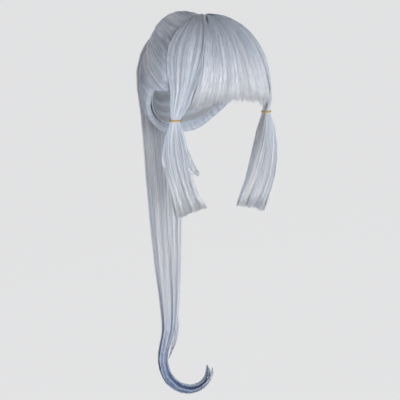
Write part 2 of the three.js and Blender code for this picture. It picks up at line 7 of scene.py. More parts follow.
import logging
from collections.abc import Callable, Sequence
from dataclasses import dataclass, replace
from enum import Enum
from functools import cached_property

import bpy
import numpy as np
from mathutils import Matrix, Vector


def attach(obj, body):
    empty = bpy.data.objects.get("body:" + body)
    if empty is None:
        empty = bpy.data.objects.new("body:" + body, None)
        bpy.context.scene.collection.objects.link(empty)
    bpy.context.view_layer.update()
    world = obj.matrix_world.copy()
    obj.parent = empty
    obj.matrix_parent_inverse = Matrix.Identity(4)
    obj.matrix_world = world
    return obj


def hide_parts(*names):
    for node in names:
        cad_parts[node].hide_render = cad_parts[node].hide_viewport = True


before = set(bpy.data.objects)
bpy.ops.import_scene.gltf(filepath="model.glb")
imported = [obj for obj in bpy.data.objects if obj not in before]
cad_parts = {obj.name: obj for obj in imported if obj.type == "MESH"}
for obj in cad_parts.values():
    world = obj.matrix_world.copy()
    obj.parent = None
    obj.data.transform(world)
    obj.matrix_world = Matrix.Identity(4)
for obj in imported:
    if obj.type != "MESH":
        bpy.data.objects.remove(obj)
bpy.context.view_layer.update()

Array = np.ndarray
Chance = np.random.Generator
Colour = tuple[float, float, float]
Number = float | Array
Range = tuple[float, float]
Rows = tuple[tuple[float, ...], ...]
Placed = tuple[Array, Array]
Place = Callable[[Array, Array, Array], Placed]
Socket = bpy.types.NodeSocket
Entry = Socket | float | tuple[float, ...]
Entries = dict[str | int, Entry]

LOG = logging.getLogger("ponytail_wig")
MILLIMETRE = 0.001
BODY = "root"
BAKE_MAP = "OFBake"
GRID_MAP = "UVMap"
FULL_TURN = 2 * np.pi
WHITE = (1.0, 1.0, 1.0)
SCATTER_STEP = 127.1
SCATTER_SALT = 311.7
SCATTER_SPREAD = 43758.5453
CAP_HEIGHT = 104.0
CROWN_CENTRE = -CAP_HEIGHT
LOCK_VARIETY = 0.45
LOCK_GROOVE = 0.5
WAVE_RATES = ((0.3, 1.0), (1.2, 2.6))
WAVE_HEIGHTS = (1.0, 0.4)
TINY = 1e-9


class Side(Enum):
    """Side of the wig as worn, with the sign of X there."""

    RIGHT = -1
    LEFT = 1


class Sum(Enum):
    """Kind of sum that a math node makes."""

    ADD = "ADD"
    SUBTRACT = "SUBTRACT"
    MULTIPLY = "MULTIPLY"
    LEAST = "MINIMUM"
    FOLD = "PINGPONG"


class Lamp(Enum):
    """Kind of light."""

    PANEL = "AREA"
    SUN = "SUN"


class Mixing(Enum):
    """Way in which two colours are mixed."""

    PLAIN = "MIX"
    MULTIPLIED = "MULTIPLY"


def smooth_step(value: Number, low: float, high: float) -> Array:
    """Smooth rise from 0 at low to 1 at high.

    Args:
        value: Numbers to weigh.
        low: Where the rise starts.
        high: Where the rise ends.

    Returns:
        Weights from 0 to 1.
    """
    share = np.clip((np.asarray(value, float) - low) / (high - low), 0, 1)
    return share * share * (3 - 2 * share)


def mix(start: Number, end: Number, share: Number) -> Array:
    """Number that lies at a share of the way from start to end."""
    return start + (np.asarray(end, float) - start) * share


def unit(vectors: Array) -> Array:
    """Vectors of the last axis at length one."""
    return vectors / np.maximum(np.linalg.norm(vectors, axis=-1, keepdims=True), TINY)


def from_nearest(place: Array) -> Array:
    """Distance from the nearest whole number, from -0.5 to 0.5."""
    return (place + 0.5) % 1 - 0.5


def length_shares(lines: Array) -> Array:
    """Share of the length at each step of lines that run side by side.

    Args:
        lines: Points by step and line.

    Returns:
        Numbers that rise from 0 to 1.
    """
    steps = np.linalg.norm(np.diff(lines, axis=0), axis=-1).mean(axis=1)
    return np.concatenate([[0.0], np.cumsum(steps)]) / steps.sum()


def direction(azimuth: Number, drop: Number) -> Array:
    """Unit vectors from the middle of the cap.

    Args:
        azimuth: Degrees from the front to the left.
        drop: Degrees down from the crown.

    Returns:
        Vectors along a last axis of three.
    """
    turn, fall = np.broadcast_arrays(np.radians(azimuth), np.radians(drop))
    across = np.sin(fall)
    return np.stack([across * np.sin(turn), -across * np.cos(turn), np.cos(fall)], axis=-1)


def scatter(number: Array, salt: float) -> Array:
    """Repeatable scatter from -1 to 1 for whole numbers, as the frame's locks have it."""
    wave = np.sin(number * SCATTER_STEP + salt * SCATTER_SALT) * SCATTER_SPREAD
    return 2 * (wave - np.floor(wave)) - 1


def lock_relief(place: Array, salt: float) -> Array:
    """Relief of a row of locks, with grooves between them.

    Args:
        place: Place along the row, counted in locks.
        salt: Number that makes one row differ from another.

    Returns:
        Height in shares of the relief, from -0.5 in a groove.
    """
    lock = np.floor(place)
    height = 1 + LOCK_VARIETY * scatter(lock, salt)
    return np.sin(np.pi * (place - lock)) * height - LOCK_GROOVE


@dataclass(frozen=True)
class Table:
    """Short table with named columns, of which the first rises and is the key."""

    names: str
    rows: Rows

    def column(self, name: str) -> Array:
        """Numbers of one column."""
        return np.array(self.rows, float)[:, self.names.split().index(name)]

    def at(self, name: str, value: Number) -> Array:
        """Read one column on a smooth curve through its rows.

        Args:
            name: Name of the column.
            value: Values of the key column, held to the table's range.

        Returns:
            The column's numbers there.
        """
        knots = self.column(self.names.split()[0])
        held = self.column(name)
        last = len(knots) - 1
        place = np.clip(value, knots[0], knots[last])
        start = np.clip(np.searchsorted(knots, place, side="right") - 1, 0, last - 1)
        before = np.maximum(start - 1, 0)
        after = np.minimum(start + 2, last)
        step = knots[start + 1] - knots[start]
        share = (place - knots[start]) / step
        rise = held[start + 1] - held[start]
        leave = (held[start + 1] - held[before]) / (knots[start + 1] - knots[before]) * step
        arrive = (held[after] - held[start]) / (knots[after] - knots[start]) * step
        curve = (3 * rise - 2 * leave - arrive) + (leave + arrive - 2 * rise) * share
        return held[start] + leave * share + curve * share * share


@dataclass(frozen=True)
class Dome:
    """Dome round the middle of the cap: half sizes, and a roundness of 1 for an ellipsoid."""

    side: Number
    length: Number
    height: Number
    roundness: Number

    def grown(self, by: float) -> "Dome":
        """Dome with every half size grown by the same length."""
        return replace(self, side=self.side + by, length=self.length + by, height=self.height + by)

    def toward(self, other: "Dome", share: Number) -> "Dome":
        """Dome between this one and another.

        Args:
            other: Dome at a share of 1.
            share: Share of the way to it.

        Returns:
            The dome, with arrays of sizes where the share is an array.
        """
        return Dome(
            mix(self.side, other.side, share),
            mix(self.length, other.length, share),
            mix(self.height, other.height, share),
            mix(self.roundness, other.roundness, share),
        )

    def points(self, way: Array) -> Array:
        """Points of the dome in given directions.

        Args:
            way: Unit vectors from the middle of the cap.

        Returns:
            Points of the same shape.
        """
        across = np.maximum(np.hypot(way[..., 0], way[..., 1]), TINY)
        widen = across ** (self.roundness - 1)
        up = np.sign(way[..., 2]) * np.abs(way[..., 2]) ** self.roundness
        x = self.side * way[..., 0] * widen
        y = self.length * way[..., 1] * widen
        return np.stack([x, y, CROWN_CENTRE + self.height * up], axis=-1)

    def normals(self, way: Array) -> Array:
        """Outward normals of the dome in given directions."""
        scale = np.stack(np.broadcast_arrays(self.side, self.length, self.height), axis=-1)
        return unit(way / scale)

    def raised(self, way: Array, lift: Array) -> Placed:
        """Points lifted off the dome in given directions, and its outward normals there."""
        outward = self.normals(way)
        return self.points(way) + outward * lift[..., None], outward


CAP_INSIDE = Dome(77, 96, CAP_HEIGHT, 0.95)
FRONT_HAIR = Dome(93.5, 113.2, 119.5, 0.9)
BACK_HAIR = Dome(93, 122, 113.5, 0.95)
CAP_WALL = 1.7
HAIR_GAP = 1.4
HAIR_INSIDE = CAP_INSIDE.grown(CAP_WALL + HAIR_GAP)
SIDEWAYS = np.array([1.0, 0.0, 0.0])


def hem_drop(hem: Table, azimuth: Number) -> Array:
    """Angle below the crown of a hem.

    Args:
        hem: Table of the hem's level at each azimuth from the front.
        azimuth: Degrees from the front, the same on both sides.

    Returns:
        Degrees down from the crown.
    """
    up = (hem.at("level", np.abs(azimuth)) - CROWN_CENTRE) / CAP_INSIDE.height
    return np.degrees(np.arccos(np.sign(up) * np.abs(up) ** (1 / CAP_INSIDE.roundness)))


@dataclass(frozen=True)
class Gather:
    """Axis of the ponytail's root: where it leaves the cap and which way."""

    azimuth: float = 180.0
    drop: float = 60.0

    @property
    def way(self) -> Array:
        """Direction of the root from the middle of the cap."""
        return direction(self.azimuth, self.drop)

    @property
    def out(self) -> Array:
        """Way out of the cap at the root."""
        return CAP_INSIDE.normals(self.way)

    @property
    def up(self) -> Array:
        """Upward side of the root."""
        return np.array([0.0, -self.out[2], self.out[1]])

    def around(self, along: Number, radius: Number, angle: Number) -> Array:
        """Points round the root's axis.

        Args:
            along: Distance from the inside of the cap.
            radius: Distance from the axis.
            angle: Radians from the upward side.

        Returns:
            Points along a last axis of three.
        """
        along, radius, angle = np.broadcast_arrays(along, radius, angle)
        start = CAP_INSIDE.points(self.way)
        lift = (radius * np.cos(angle))[..., None] * self.up
        aside = (radius * np.sin(angle))[..., None] * SIDEWAYS
        return start + along[..., None] * self.out + lift + aside

    def reached(self, angle: Number, arc: Number) -> Array:
        """Directions on the cap reached from the root.

        Args:
            angle: Radians round the root from its upward side.
            arc: Radians to turn away from the root.

        Returns:
            Unit vectors from the middle of the cap.
        """
        angle, arc = np.broadcast_arrays(angle, arc)
        crownward = direction(self.azimuth, self.drop - 90)
        lift = (np.sin(arc) * np.cos(angle))[..., None] * crownward
        aside = (np.sin(arc) * np.sin(angle))[..., None] * SIDEWAYS
        return np.cos(arc)[..., None] * self.way + lift + aside


GATHER = Gather()


@dataclass(frozen=True)
class MeshPart:
    """Closed surfaces as arrays: points, quads and triangles with a map place for each corner."""

    points: Array
    quads: Array
    quad_map: Array
    triangles: Array
    triangle_map: Array

    def outward(self) -> "MeshPart":
        """Turn the faces so that the part encloses a positive volume.

        Returns:
            The part itself, or one with all its faces turned.
        """
        halves = np.concatenate([self.quads[:, [0, 1, 2]], self.quads[:, [0, 2, 3]], self.triangles])
        first, second, third = (self.points[halves[:, corner]] for corner in range(3))
        if np.einsum("ij,ij->", first, np.cross(second, third)) >= 0:
            return self
        return replace(
            self,
            quads=self.quads[:, ::-1],
            quad_map=self.quad_map[:, ::-1],
            triangles=self.triangles[:, ::-1],
            triangle_map=self.triangle_map[:, ::-1],
        )


def loft(rings: Array, spots: Array, wrap: bool) -> MeshPart:
    """Closed surface through rings.

    Args:
        rings: Points by ring and place round it.
        spots: Map places of the same points.
        wrap: Whether the last ring joins the first. If not, both ends are capped across the ring.

    Returns:
        The surface with its faces outward.
    """
    count, around = rings.shape[:2]
    number = np.arange(count * around).reshape(count, around)
    ring = np.arange(count if wrap else count - 1)
    ahead = (ring + 1) % count
    turn = (np.arange(around) + 1) % around
    sides = [number[ring], number[ring][:, turn], number[ahead][:, turn], number[ahead]]
    quads = np.stack(sides, axis=-1).reshape(-1, 4)
    if not wrap:
        near = np.arange(around // 2 - 1)
        far = around - 1 - near
        first, last = number[0], number[-1]
        start = np.stack([first[near], first[far], first[far - 1], first[near + 1]], axis=-1)
        end = np.stack([last[near], last[near + 1], last[far - 1], last[far]], axis=-1)
        quads = np.concatenate([quads, start, end])
    flat_spots = spots.reshape(-1, 2)
    none = np.zeros((0, 3), int)
    part = MeshPart(rings.reshape(-1, 3), quads, flat_spots[quads], none, np.zeros((0, 3, 2)))
    return part.outward()


@dataclass(frozen=True)
class StrandShape:
    """Section of a strand: its width, how far it is crowned, and how it narrows at both ends."""

    width: float = 0.85
    crown: float = 0.55
    root: float = 0.06
    root_width: float = 0.4
    tip: float = 0.7
    tip_width: float = 0.22
    map_width: float = 0.0035
    map_edges: tuple[float, ...] = (-1.5, -0.5, 0.5, 1.5)
    tip_map: float = 0.004

    def part(self, lines: Array, outward: Array, across: Array, along: Array, scale: Array) -> MeshPart:
        """Closed strands along lines.

        Args:
            lines: Points by strand and step.
            outward: Way out of the hair at each point.
            across: Map place across the hair for each strand.
            along: Map place along the hair at each point.
            scale: Width of each strand against the usual one.

        Returns:
            The strands as one part.
        """
        count, steps = lines.shape[:2]
        share = np.linspace(0, 1, steps)
        root = mix(self.root_width, 1, smooth_step(share, 0, self.root))
        tip = mix(1, self.tip_width, smooth_step(share, self.tip, 1))
        half = (0.5 * self.width * scale[:, None] * (root * tip))[..., None]
        ahead = unit(np.gradient(lines, axis=1))
        side = unit(np.cross(ahead, outward))
        lift = np.cross(side, ahead) * half * self.crown
        corners = np.stack([lines - side * half, lines + lift, lines + side * half], axis=2)
        number = np.arange(count * steps * 3).reshape(count, steps, 3)
        edges = np.clip(across[:, None] + self.map_width * np.array(self.map_edges), 0, 1)
        high = np.clip(along, 0, 1)
        near, far = number[:, :-1], number[:, 1:]
        along_map = np.stack([high[:, :-1], high[:, :-1], high[:, 1:], high[:, 1:]], -1)
        quads = []
        quad_map = []
        for edge in range(3):
            turn = (edge + 1) % 3
            sides = [near[..., edge], near[..., turn], far[..., turn], far[..., edge]]
            quads.append(np.stack(sides, -1))
            left = np.broadcast_to(edges[:, edge, None], near.shape[:2])
            right = np.broadcast_to(edges[:, edge + 1, None], near.shape[:2])
            across_map = np.stack([left, right, right, left], -1)
            quad_map.append(np.stack([across_map, along_map], -1))
        ends = np.concatenate([number[:, 0, ::-1], number[:, -1]])
        end_across = np.concatenate([edges[:, 2::-1], edges[:, :3]])
        end_along = np.concatenate([high[:, :1], high[:, -1:]]) + np.array([0, self.tip_map, 0])
        return MeshPart(
            corners.reshape(-1, 3),
            np.concatenate(quads).reshape(-1, 4),
            np.concatenate(quad_map).reshape(-1, 4, 2),
            ends,
            np.stack([end_across, np.clip(end_along, 0, 1)], -1),
        ).outward()


def mesh_object(name: str, parts: Sequence[MeshPart]) -> bpy.types.Object:
    """One smooth object from parts.

    Args:
        name: Name of the piece.
        parts: Its closed surfaces, in millimetres.

    Returns:
        The object, linked to the scene, with its places in its mesh.
    """
    starts = np.cumsum([0] + [len(part.points) for part in parts])
    points = np.concatenate([part.points for part in parts]) * MILLIMETRE
    quads = np.concatenate([part.quads + start for part, start in zip(parts, starts)])
    triangles = np.concatenate([part.triangles + start for part, start in zip(parts, starts)])
    spots = [part.quad_map.reshape(-1, 2) for part in parts]
    spots += [part.triangle_map.reshape(-1, 2) for part in parts]
    corners = np.concatenate([quads.ravel(), triangles.ravel()])
    first = np.concatenate([np.arange(len(quads)) * 4, len(quads) * 4 + np.arange(len(triangles)) * 3])
    mesh = bpy.data.meshes.new(name)
    mesh.vertices.add(len(points))
    mesh.vertices.foreach_set("co", points.astype(np.float32).ravel())
    mesh.loops.add(len(corners))
    mesh.loops.foreach_set("vertex_index", corners.astype(np.int32))
    mesh.polygons.add(len(first))
    mesh.polygons.foreach_set("loop_start", first.astype(np.int32))
    layer = mesh.uv_layers.new(name=BAKE_MAP)
    layer.uv.foreach_set("vector", np.concatenate(spots).astype(np.float32).ravel())
    mesh.update(calc_edges=True)
    mesh.validate()
    mesh.shade_smooth()
    made = bpy.data.objects.new(name, mesh)
    bpy.context.scene.collection.objects.link(made)
    return made


class NodeSketch:
    """Node tree of one material, with short calls to add and join nodes."""

    NOISE_RANGE = (0.3, 0.7)
    FINE_DETAIL = 2.0
    HALF_WAVE = 0.5

    def __init__(self, name: str) -> None:
        """Start a material with an empty tree.

        Args:
            name: Name of the material.
        """
        self.material = bpy.data.materials.new(name)
        self.material.use_nodes = True
        self.tree = self.material.node_tree
        self.tree.nodes.clear()

    def enter(self, socket: Socket, value: Entry) -> None:
        """Link a socket to an input, or set the input's value.

        Args:
            socket: The input.
            value: An output socket or a plain value.
        """
        if isinstance(value, Socket):
            self.tree.links.new(value, socket)
        else:
            socket.default_value = value

    def add(self, kind: str, inputs: Entries | None = None, **settings: str) -> bpy.types.Node:
        """Add a node.

        Args:
            kind: Type name of the node without its ShaderNode prefix.
            inputs: Values, or output sockets to link, by the input's name or number.
            settings: Properties of the node itself.

        Returns:
            The node.
        """
        node = self.tree.nodes.new("ShaderNode" + kind)
        for name, setting in settings.items():
            setattr(node, name, setting)
        for name, value in (inputs or {}).items():
            self.enter(node.inputs[name], value)
        return node

    def spots(self, map_name: str, scale: Range = (1.0, 1.0)) -> Socket:
        """Places on a map of the piece.

        Args:
            map_name: Name of the map.
            scale: Stretch across and along it.

        Returns:
            Output with the places.
        """
        source = self.add("UVMap", uv_map=map_name)
        inputs = {"Vector": source.outputs["UV"], "Scale": (*scale, 1.0)}
        return self.add("Mapping", inputs).outputs["Vector"]

    def parts(self, map_name: str, scale: Range = (1.0, 1.0)) -> tuple[Socket, Socket]:
        """Places across and along a map, as two outputs."""
        node = self.add("SeparateXYZ", {"Vector": self.spots(map_name, scale)})
        return node.outputs["X"], node.outputs["Y"]

    def noise(self, spots: Socket, detail: float = 1.0) -> Socket:
        """Noise from about 0.3 to 0.7 at places on a map."""
        inputs = {"Vector": spots, "Scale": 1.0, "Detail": detail}
        return self.add("TexNoise", inputs, noise_dimensions="2D").outputs["Fac"]

    def sum_of(self, kind: Sum, first: Entry, second: Entry) -> Socket:
        """Result of a math node on two values or sockets."""
        return self.add("Math", {0: first, 1: second}, operation=kind.value).outputs[0]

    def added(self, base: Socket, extra: Socket, share: Entry) -> Socket:
        """Base value with a share of another one added."""
        return self.sum_of(Sum.ADD, base, self.sum_of(Sum.MULTIPLY, extra, share))

    def folded(self, value: Socket) -> Socket:
        """Value folded into even waves from 0 to a half."""
        return self.sum_of(Sum.FOLD, value, self.HALF_WAVE)

    def weighed(self, first: Socket, second: Socket, share: float) -> Socket:
        """Sum of two values, of which the second has a share."""
        return self.added(self.sum_of(Sum.MULTIPLY, first, 1 - share), second, share)

    def span(self, value: Socket, given: Range, wanted: Range = (0.0, 1.0)) -> Socket:
        """Value brought from one range to another and held there.

        Args:
            value: Output to read.
            given: Range of the value.
            wanted: Range of the result.

        Returns:
            Output with the result.
        """
        inputs = {
            "Value": value,
            "From Min": given[0],
            "From Max": given[1],
            "To Min": wanted[0],
            "To Max": wanted[1],
        }
        return self.add("MapRange", inputs, interpolation_type="SMOOTHSTEP").outputs["Result"]

    def ramp(self, value: Socket, colours: Sequence[Colour]) -> Socket:
        """Colour on an even ramp.

        Args:
            value: Place on the ramp from 0 to 1.
            colours: Colours of its stops.

        Returns:
            Output with the colour.
        """
        node = self.add("ValToRGB", {"Fac": value})
        stops = node.color_ramp.elements
        while len(stops) < len(colours):
            stops.new(0.5)
        for number, colour in enumerate(colours):
            stops[number].position = number / (len(colours) - 1)
            stops[number].color = (*colour, 1.0)
        return node.outputs["Color"]

    def blend(self, share: Entry, first: Entry, second: Entry, kind: Mixing = Mixing.PLAIN) -> Socket:
        """Colour mixed from two.

        Args:
            share: Share of the second.
            first: First colour.
            second: Second colour.
            kind: Way of mixing.

        Returns:
            Output with the colour.
        """
        node = self.add("Mix", data_type="RGBA", blend_type=kind.value)
        entries = {socket.identifier: socket for socket in node.inputs}
        self.enter(entries["Factor_Float"], share)
        self.enter(entries["A_Color"], first)
        self.enter(entries["B_Color"], second)
        return next(socket for socket in node.outputs if socket.identifier == "Result_Color")

    def shaded(self, colour: Socket, share: Socket, shade: Colour) -> Socket:
        """Colour multiplied by a shade where a share says so."""
        veil = self.blend(share, (*WHITE, 1.0), (*shade, 1.0))
        return self.blend(1.0, colour, veil, Mixing.MULTIPLIED)

    def bump(self, height: Socket, strength: float, depth: float) -> Socket:
        """Normal bent by a height, with its depth in millimetres."""
        inputs = {"Height": height, "Strength": strength, "Distance": depth * MILLIMETRE}
        return self.add("Bump", inputs).outputs["Normal"]

    def surface(self, **inputs: Entry) -> bpy.types.Material:
        """Finish the tree with one principled surface.

        Args:
            inputs: Inputs of the surface, named with underscores for spaces.

        Returns:
            The finished material.
        """
        named = {name.replace("_", " "): value for name, value in inputs.items()}
        shader = self.add("BsdfPrincipled", named)
        self.add("OutputMaterial", {"Surface": shader.outputs["BSDF"]})
        return self.material


@dataclass(frozen=True)
class HairFinish:
    """Satin fibre of mixed pale strands, darker at its roots and of another colour at its tip, partly
    as painted shade and light.

    The ranges tip and root, and the two ranges across and along of the painted inner shadow, give the
    place on the hair's map where a change of colour starts and the place where it is full.
    """

    name: str
    tones: tuple[Colour, ...]
    tip_tones: tuple[Colour, ...]
    tip: Range = (0.4, 1.0)
    # Painted shade from the roots, partly the fibre's darker roots: on the crown of the fringe and the
    # locks, at the tail's root, and along the hem and edges of the swept back hair.
    dark_roots_and_painted_shade: Colour = (0.66, 0.69, 0.73)
    root: Range = (0.62, 0.05)
    tone_range: Range = (0.2, 0.8)
    tip_range: Range = (0.2, 0.8)
    fine_scale: Range = (700.0, 2.4)
    streak_scale: Range = (46.0, 1.3)
    streak_share: float = 0.4
    tint_scale: Range = (240.0, 0.9)
    tints: tuple[Colour, ...] = ((0.93, 0.99, 1.05), WHITE, (1.03, 1.0, 0.97))
    raggedness: float = 0.16
    # Painted shadow along a lock's front edge, down past its tie; white for none.
    painted_inner_shadow: Colour = WHITE
    inner_shadow_raggedness: float = 0.3
    inner_shadow_across: Range = (0.36, 0.2)
    inner_shadow_along: Range = (0.9, 0.66)
    roughness: Range = (0.44, 0.62)
    specular: float = 0.28
    sheen: float = 0.08
    sheen_roughness: float = 0.45
    bump_strength: float = 0.25
    bump_depth: float = 0.4

    def material(self) -> bpy.types.Material:
        """Make the material, which reads nothing but the piece's own map.

        Returns:
            The finished material.
        """
        sketch = NodeSketch(self.name)
        fine = sketch.noise(sketch.spots(BAKE_MAP, self.fine_scale), sketch.FINE_DETAIL)
        broad = sketch.noise(sketch.spots(BAKE_MAP, self.streak_scale))
        tone = sketch.weighed(fine, broad, self.streak_share)
        across, along = sketch.parts(BAKE_MAP)
        ragged = sketch.added(along, fine, self.raggedness)
        plain = sketch.ramp(sketch.span(tone, self.tone_range), self.tones)
        tip = sketch.ramp(sketch.span(tone, self.tip_range), self.tip_tones)
        colour = sketch.blend(sketch.span(ragged, self.tip), plain, tip)
        tint = sketch.noise(sketch.spots(BAKE_MAP, self.tint_scale))
        tint = sketch.ramp(sketch.span(tint, sketch.NOISE_RANGE), self.tints)
        colour = sketch.blend(1.0, colour, tint, Mixing.MULTIPLIED)
        # Darker from the roots: partly the fibre's darker roots, partly painted shade.
        colour = sketch.shaded(colour, sketch.span(ragged, self.root), self.dark_roots_and_painted_shade)
        # Painted shadow along the front edge of a lock, ragged, fading out before its end.
        if self.painted_inner_shadow != WHITE:
            spread = sketch.added(across, fine, self.inner_shadow_raggedness)
            inner = sketch.span(spread, self.inner_shadow_across)
            under = sketch.sum_of(Sum.MULTIPLY, inner, sketch.span(ragged, self.inner_shadow_along))
            colour = sketch.shaded(colour, under, self.painted_inner_shadow)
        return sketch.surface(
            Base_Color=colour,
            Roughness=sketch.span(fine, sketch.NOISE_RANGE, self.roughness),
            Specular_IOR_Level=self.specular,
            Sheen_Weight=self.sheen,
            Sheen_Roughness=self.sheen_roughness,
            Normal=sketch.bump(fine, self.bump_strength, self.bump_depth),
        )


SILVER = (
    (0.28, 0.33, 0.41),
    (0.41, 0.46, 0.55),
    (0.50, 0.55, 0.63),
    (0.57, 0.61, 0.68),
    (0.66, 0.68, 0.73),
)
# Lighter copy of the silver tones for the swept back hair: painted light that lifts the shade on the
# back of the wig.
SILVER_WITH_PAINTED_LIGHT = (
    (0.28, 0.32, 0.405),
    (0.44, 0.485, 0.585),
    (0.56, 0.605, 0.7),
    (0.64, 0.68, 0.76),
    (0.74, 0.76, 0.82),
)
PALE = (
    (0.38, 0.405, 0.475),
    (0.55, 0.575, 0.64),
    (0.65, 0.665, 0.72),
    (0.71, 0.72, 0.76),
    (0.79, 0.79, 0.81),
)
# Paler tones for the side locks' ends: partly painted light on their thinning tips.
BRIGHT = (
    (0.34, 0.38, 0.45),
    (0.52, 0.56, 0.62),
    (0.62, 0.65, 0.705),
    (0.69, 0.71, 0.75),
    (0.77, 0.78, 0.80),
)
# Pale warm tones for the fringe's ends: partly painted light on its lower, thinning edge.
WARM = (
    (0.42, 0.43, 0.48),
    (0.60, 0.61, 0.65),
    (0.72, 0.72, 0.755),
    (0.79, 0.785, 0.81),
    (0.87, 0.86, 0.87),
)
BLUE = (
    (0.03, 0.06, 0.17),
    (0.09, 0.15, 0.33),
    (0.22, 0.30, 0.50),
    (0.36, 0.44, 0.60),
    (0.62, 0.66, 0.74),
)
# The fringe's and the locks' paler tip tones are partly painted light on their ends; the tail's blue
# tip is its dye.
FRINGE_FIBRE = HairFinish("fringe_fibre", SILVER, WARM, tip=(0.45, 1.3))
LOCK_FIBRE = HairFinish(
    "lock_fibre",
    SILVER,
    BRIGHT,
    tip=(0.72, 1.06),
    root=(0.46, 0.04),
    streak_scale=(18.0, 1.6),
    streak_share=0.46,
    tone_range=(0.27, 0.73),
    tip_range=(0.34, 0.66),
    tints=((0.95, 0.99, 1.04), (1.01, 1.0, 0.99), (1.04, 1.0, 0.96)),
)
# The far lock carries a painted shadow along its front edge.
FAR_LOCK_FIBRE = replace(
    LOCK_FIBRE, name="far_lock_fibre", tip=(0.58, 0.98), painted_inner_shadow=(0.5, 0.46, 0.42)
)
SWEPT_FIBRE = HairFinish(
    "swept_fibre",
    SILVER_WITH_PAINTED_LIGHT,
    SILVER_WITH_PAINTED_LIGHT,
    # Painted shade along the hem and the seam under the side locks, where the swept back hair starts.
    dark_roots_and_painted_shade=(0.74, 0.755, 0.775),
    root=(0.46, 0.06),
    tone_range=(0.24, 0.76),
    tip_range=(0.24, 0.76),
    tints=((0.95, 0.99, 1.04), WHITE, (1.06, 1.01, 0.94)),
)
TAIL_FIBRE = HairFinish(
    "tail_fibre",
    PALE,
    BLUE,
    tip=(0.6, 0.95),
    root=(0.2, 0.05),
    streak_scale=(11.0, 2.4),
    streak_share=0.65,
    tone_range=(0.16, 0.84),
    tip_range=(0.39, 0.61),
)


@dataclass(frozen=True, kw_only=True)
class Combing:
    """How the strands of a piece lie: their number, their clumps and how unruly they are.

    Starts, ends and their spreads are shares of the hair's length. Lifts, tucks, layers and ripples are
    shares of its depth. The wander is how far a strand's place across changes at its tip.
    """

    count: int
    steps: int
    clumps: int
    pull: float
    pull_starts: float
    wander: float
    start: float = 0.0
    start_spread: float
    end: float = 1.0
    end_spread: float
    layer: float = 0.1
    lift: float = 0.03
    tuck: float = 0.25
    tuck_share: float = 0.14
    loose: float = 0.02
    loose_unrest: float = 4.0
    loose_height: Range = (0.05, 0.3)
    ripple: float = 0.02
    widths: Range = (0.7, 1.15)
    map_span: Range = (0.0, 1.0)


@dataclass(frozen=True, kw_only=True)
class Piece:
    """Piece of the wig: the node that it stands for, and its slot in the record."""

    name: str
    node: str
    slot: str = "hair"

    def build(self) -> bpy.types.Object:
        """Make the mesh of the piece."""
        raise NotImplementedError

    def material(self) -> bpy.types.Material:
        """Make the finish of the piece."""
        raise NotImplementedError

    def dress(self, made: bpy.types.Object) -> None:
        """Name the piece, give it its finish and set it in the frame in place of its node.

        Args:
            made: Object of the piece.
        """
        made.name = self.name
        made.data.name = self.name
        made.data.materials.append(self.material())
        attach(made, BODY)
        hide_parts(self.node)


@dataclass(frozen=True, kw_only=True)
class HairPiece(Piece):
    """Hair of one node: strands over a bed that fills the hair's form."""

    finish: HairFinish
    combing: Combing
    seed: int
    shape: StrandShape = StrandShape()
    bed_rows: int
    bed_end: float

    def place(self, across: Array, depth: Array, along: Array) -> Placed:
        """Points of the hair's form.

        Args:
            across: Place across the hair.
            depth: Place through the hair, 1 at its outer face.
            along: Share of the length, 0 at the root and 1 at the usual tip.

        Returns:
            The points and the ways out of the hair there.
        """
        raise NotImplementedError

    def bed(self) -> MeshPart:
        """Closed body under the strands."""
        raise NotImplementedError

    def strands(self, draw: Chance) -> list[MeshPart]:
        """All strands of the piece, from one seeded source of chance."""
        raise NotImplementedError

    def build(self) -> bpy.types.Object:
        """Make the bed and the strands as one mesh."""
        return mesh_object(self.name, [self.bed(), *self.strands(np.random.default_rng(self.seed))])

    def material(self) -> bpy.types.Material:
        """Make the fibre's finish."""
        return self.finish.material()


def unruly(draw: Chance, along: Array, amount: Number) -> Array:
    """Slow waves that carry strands off their line.

    Args:
        draw: Source of chance.
        along: Share of the length by strand and step.
        amount: Height of the waves at the tip, in the unit of the result.

    Returns:
        Offsets of the same shape as along.
    """
    count = len(along)
    result = np.zeros_like(along)
    for rates, height in zip(WAVE_RATES, WAVE_HEIGHTS):
        rate = draw.uniform(*rates, (count, 1))
        phase = draw.uniform(0, 1, (count, 1))
        result += height * np.sin(FULL_TURN * (rate * along + phase))
    return result * amount * along


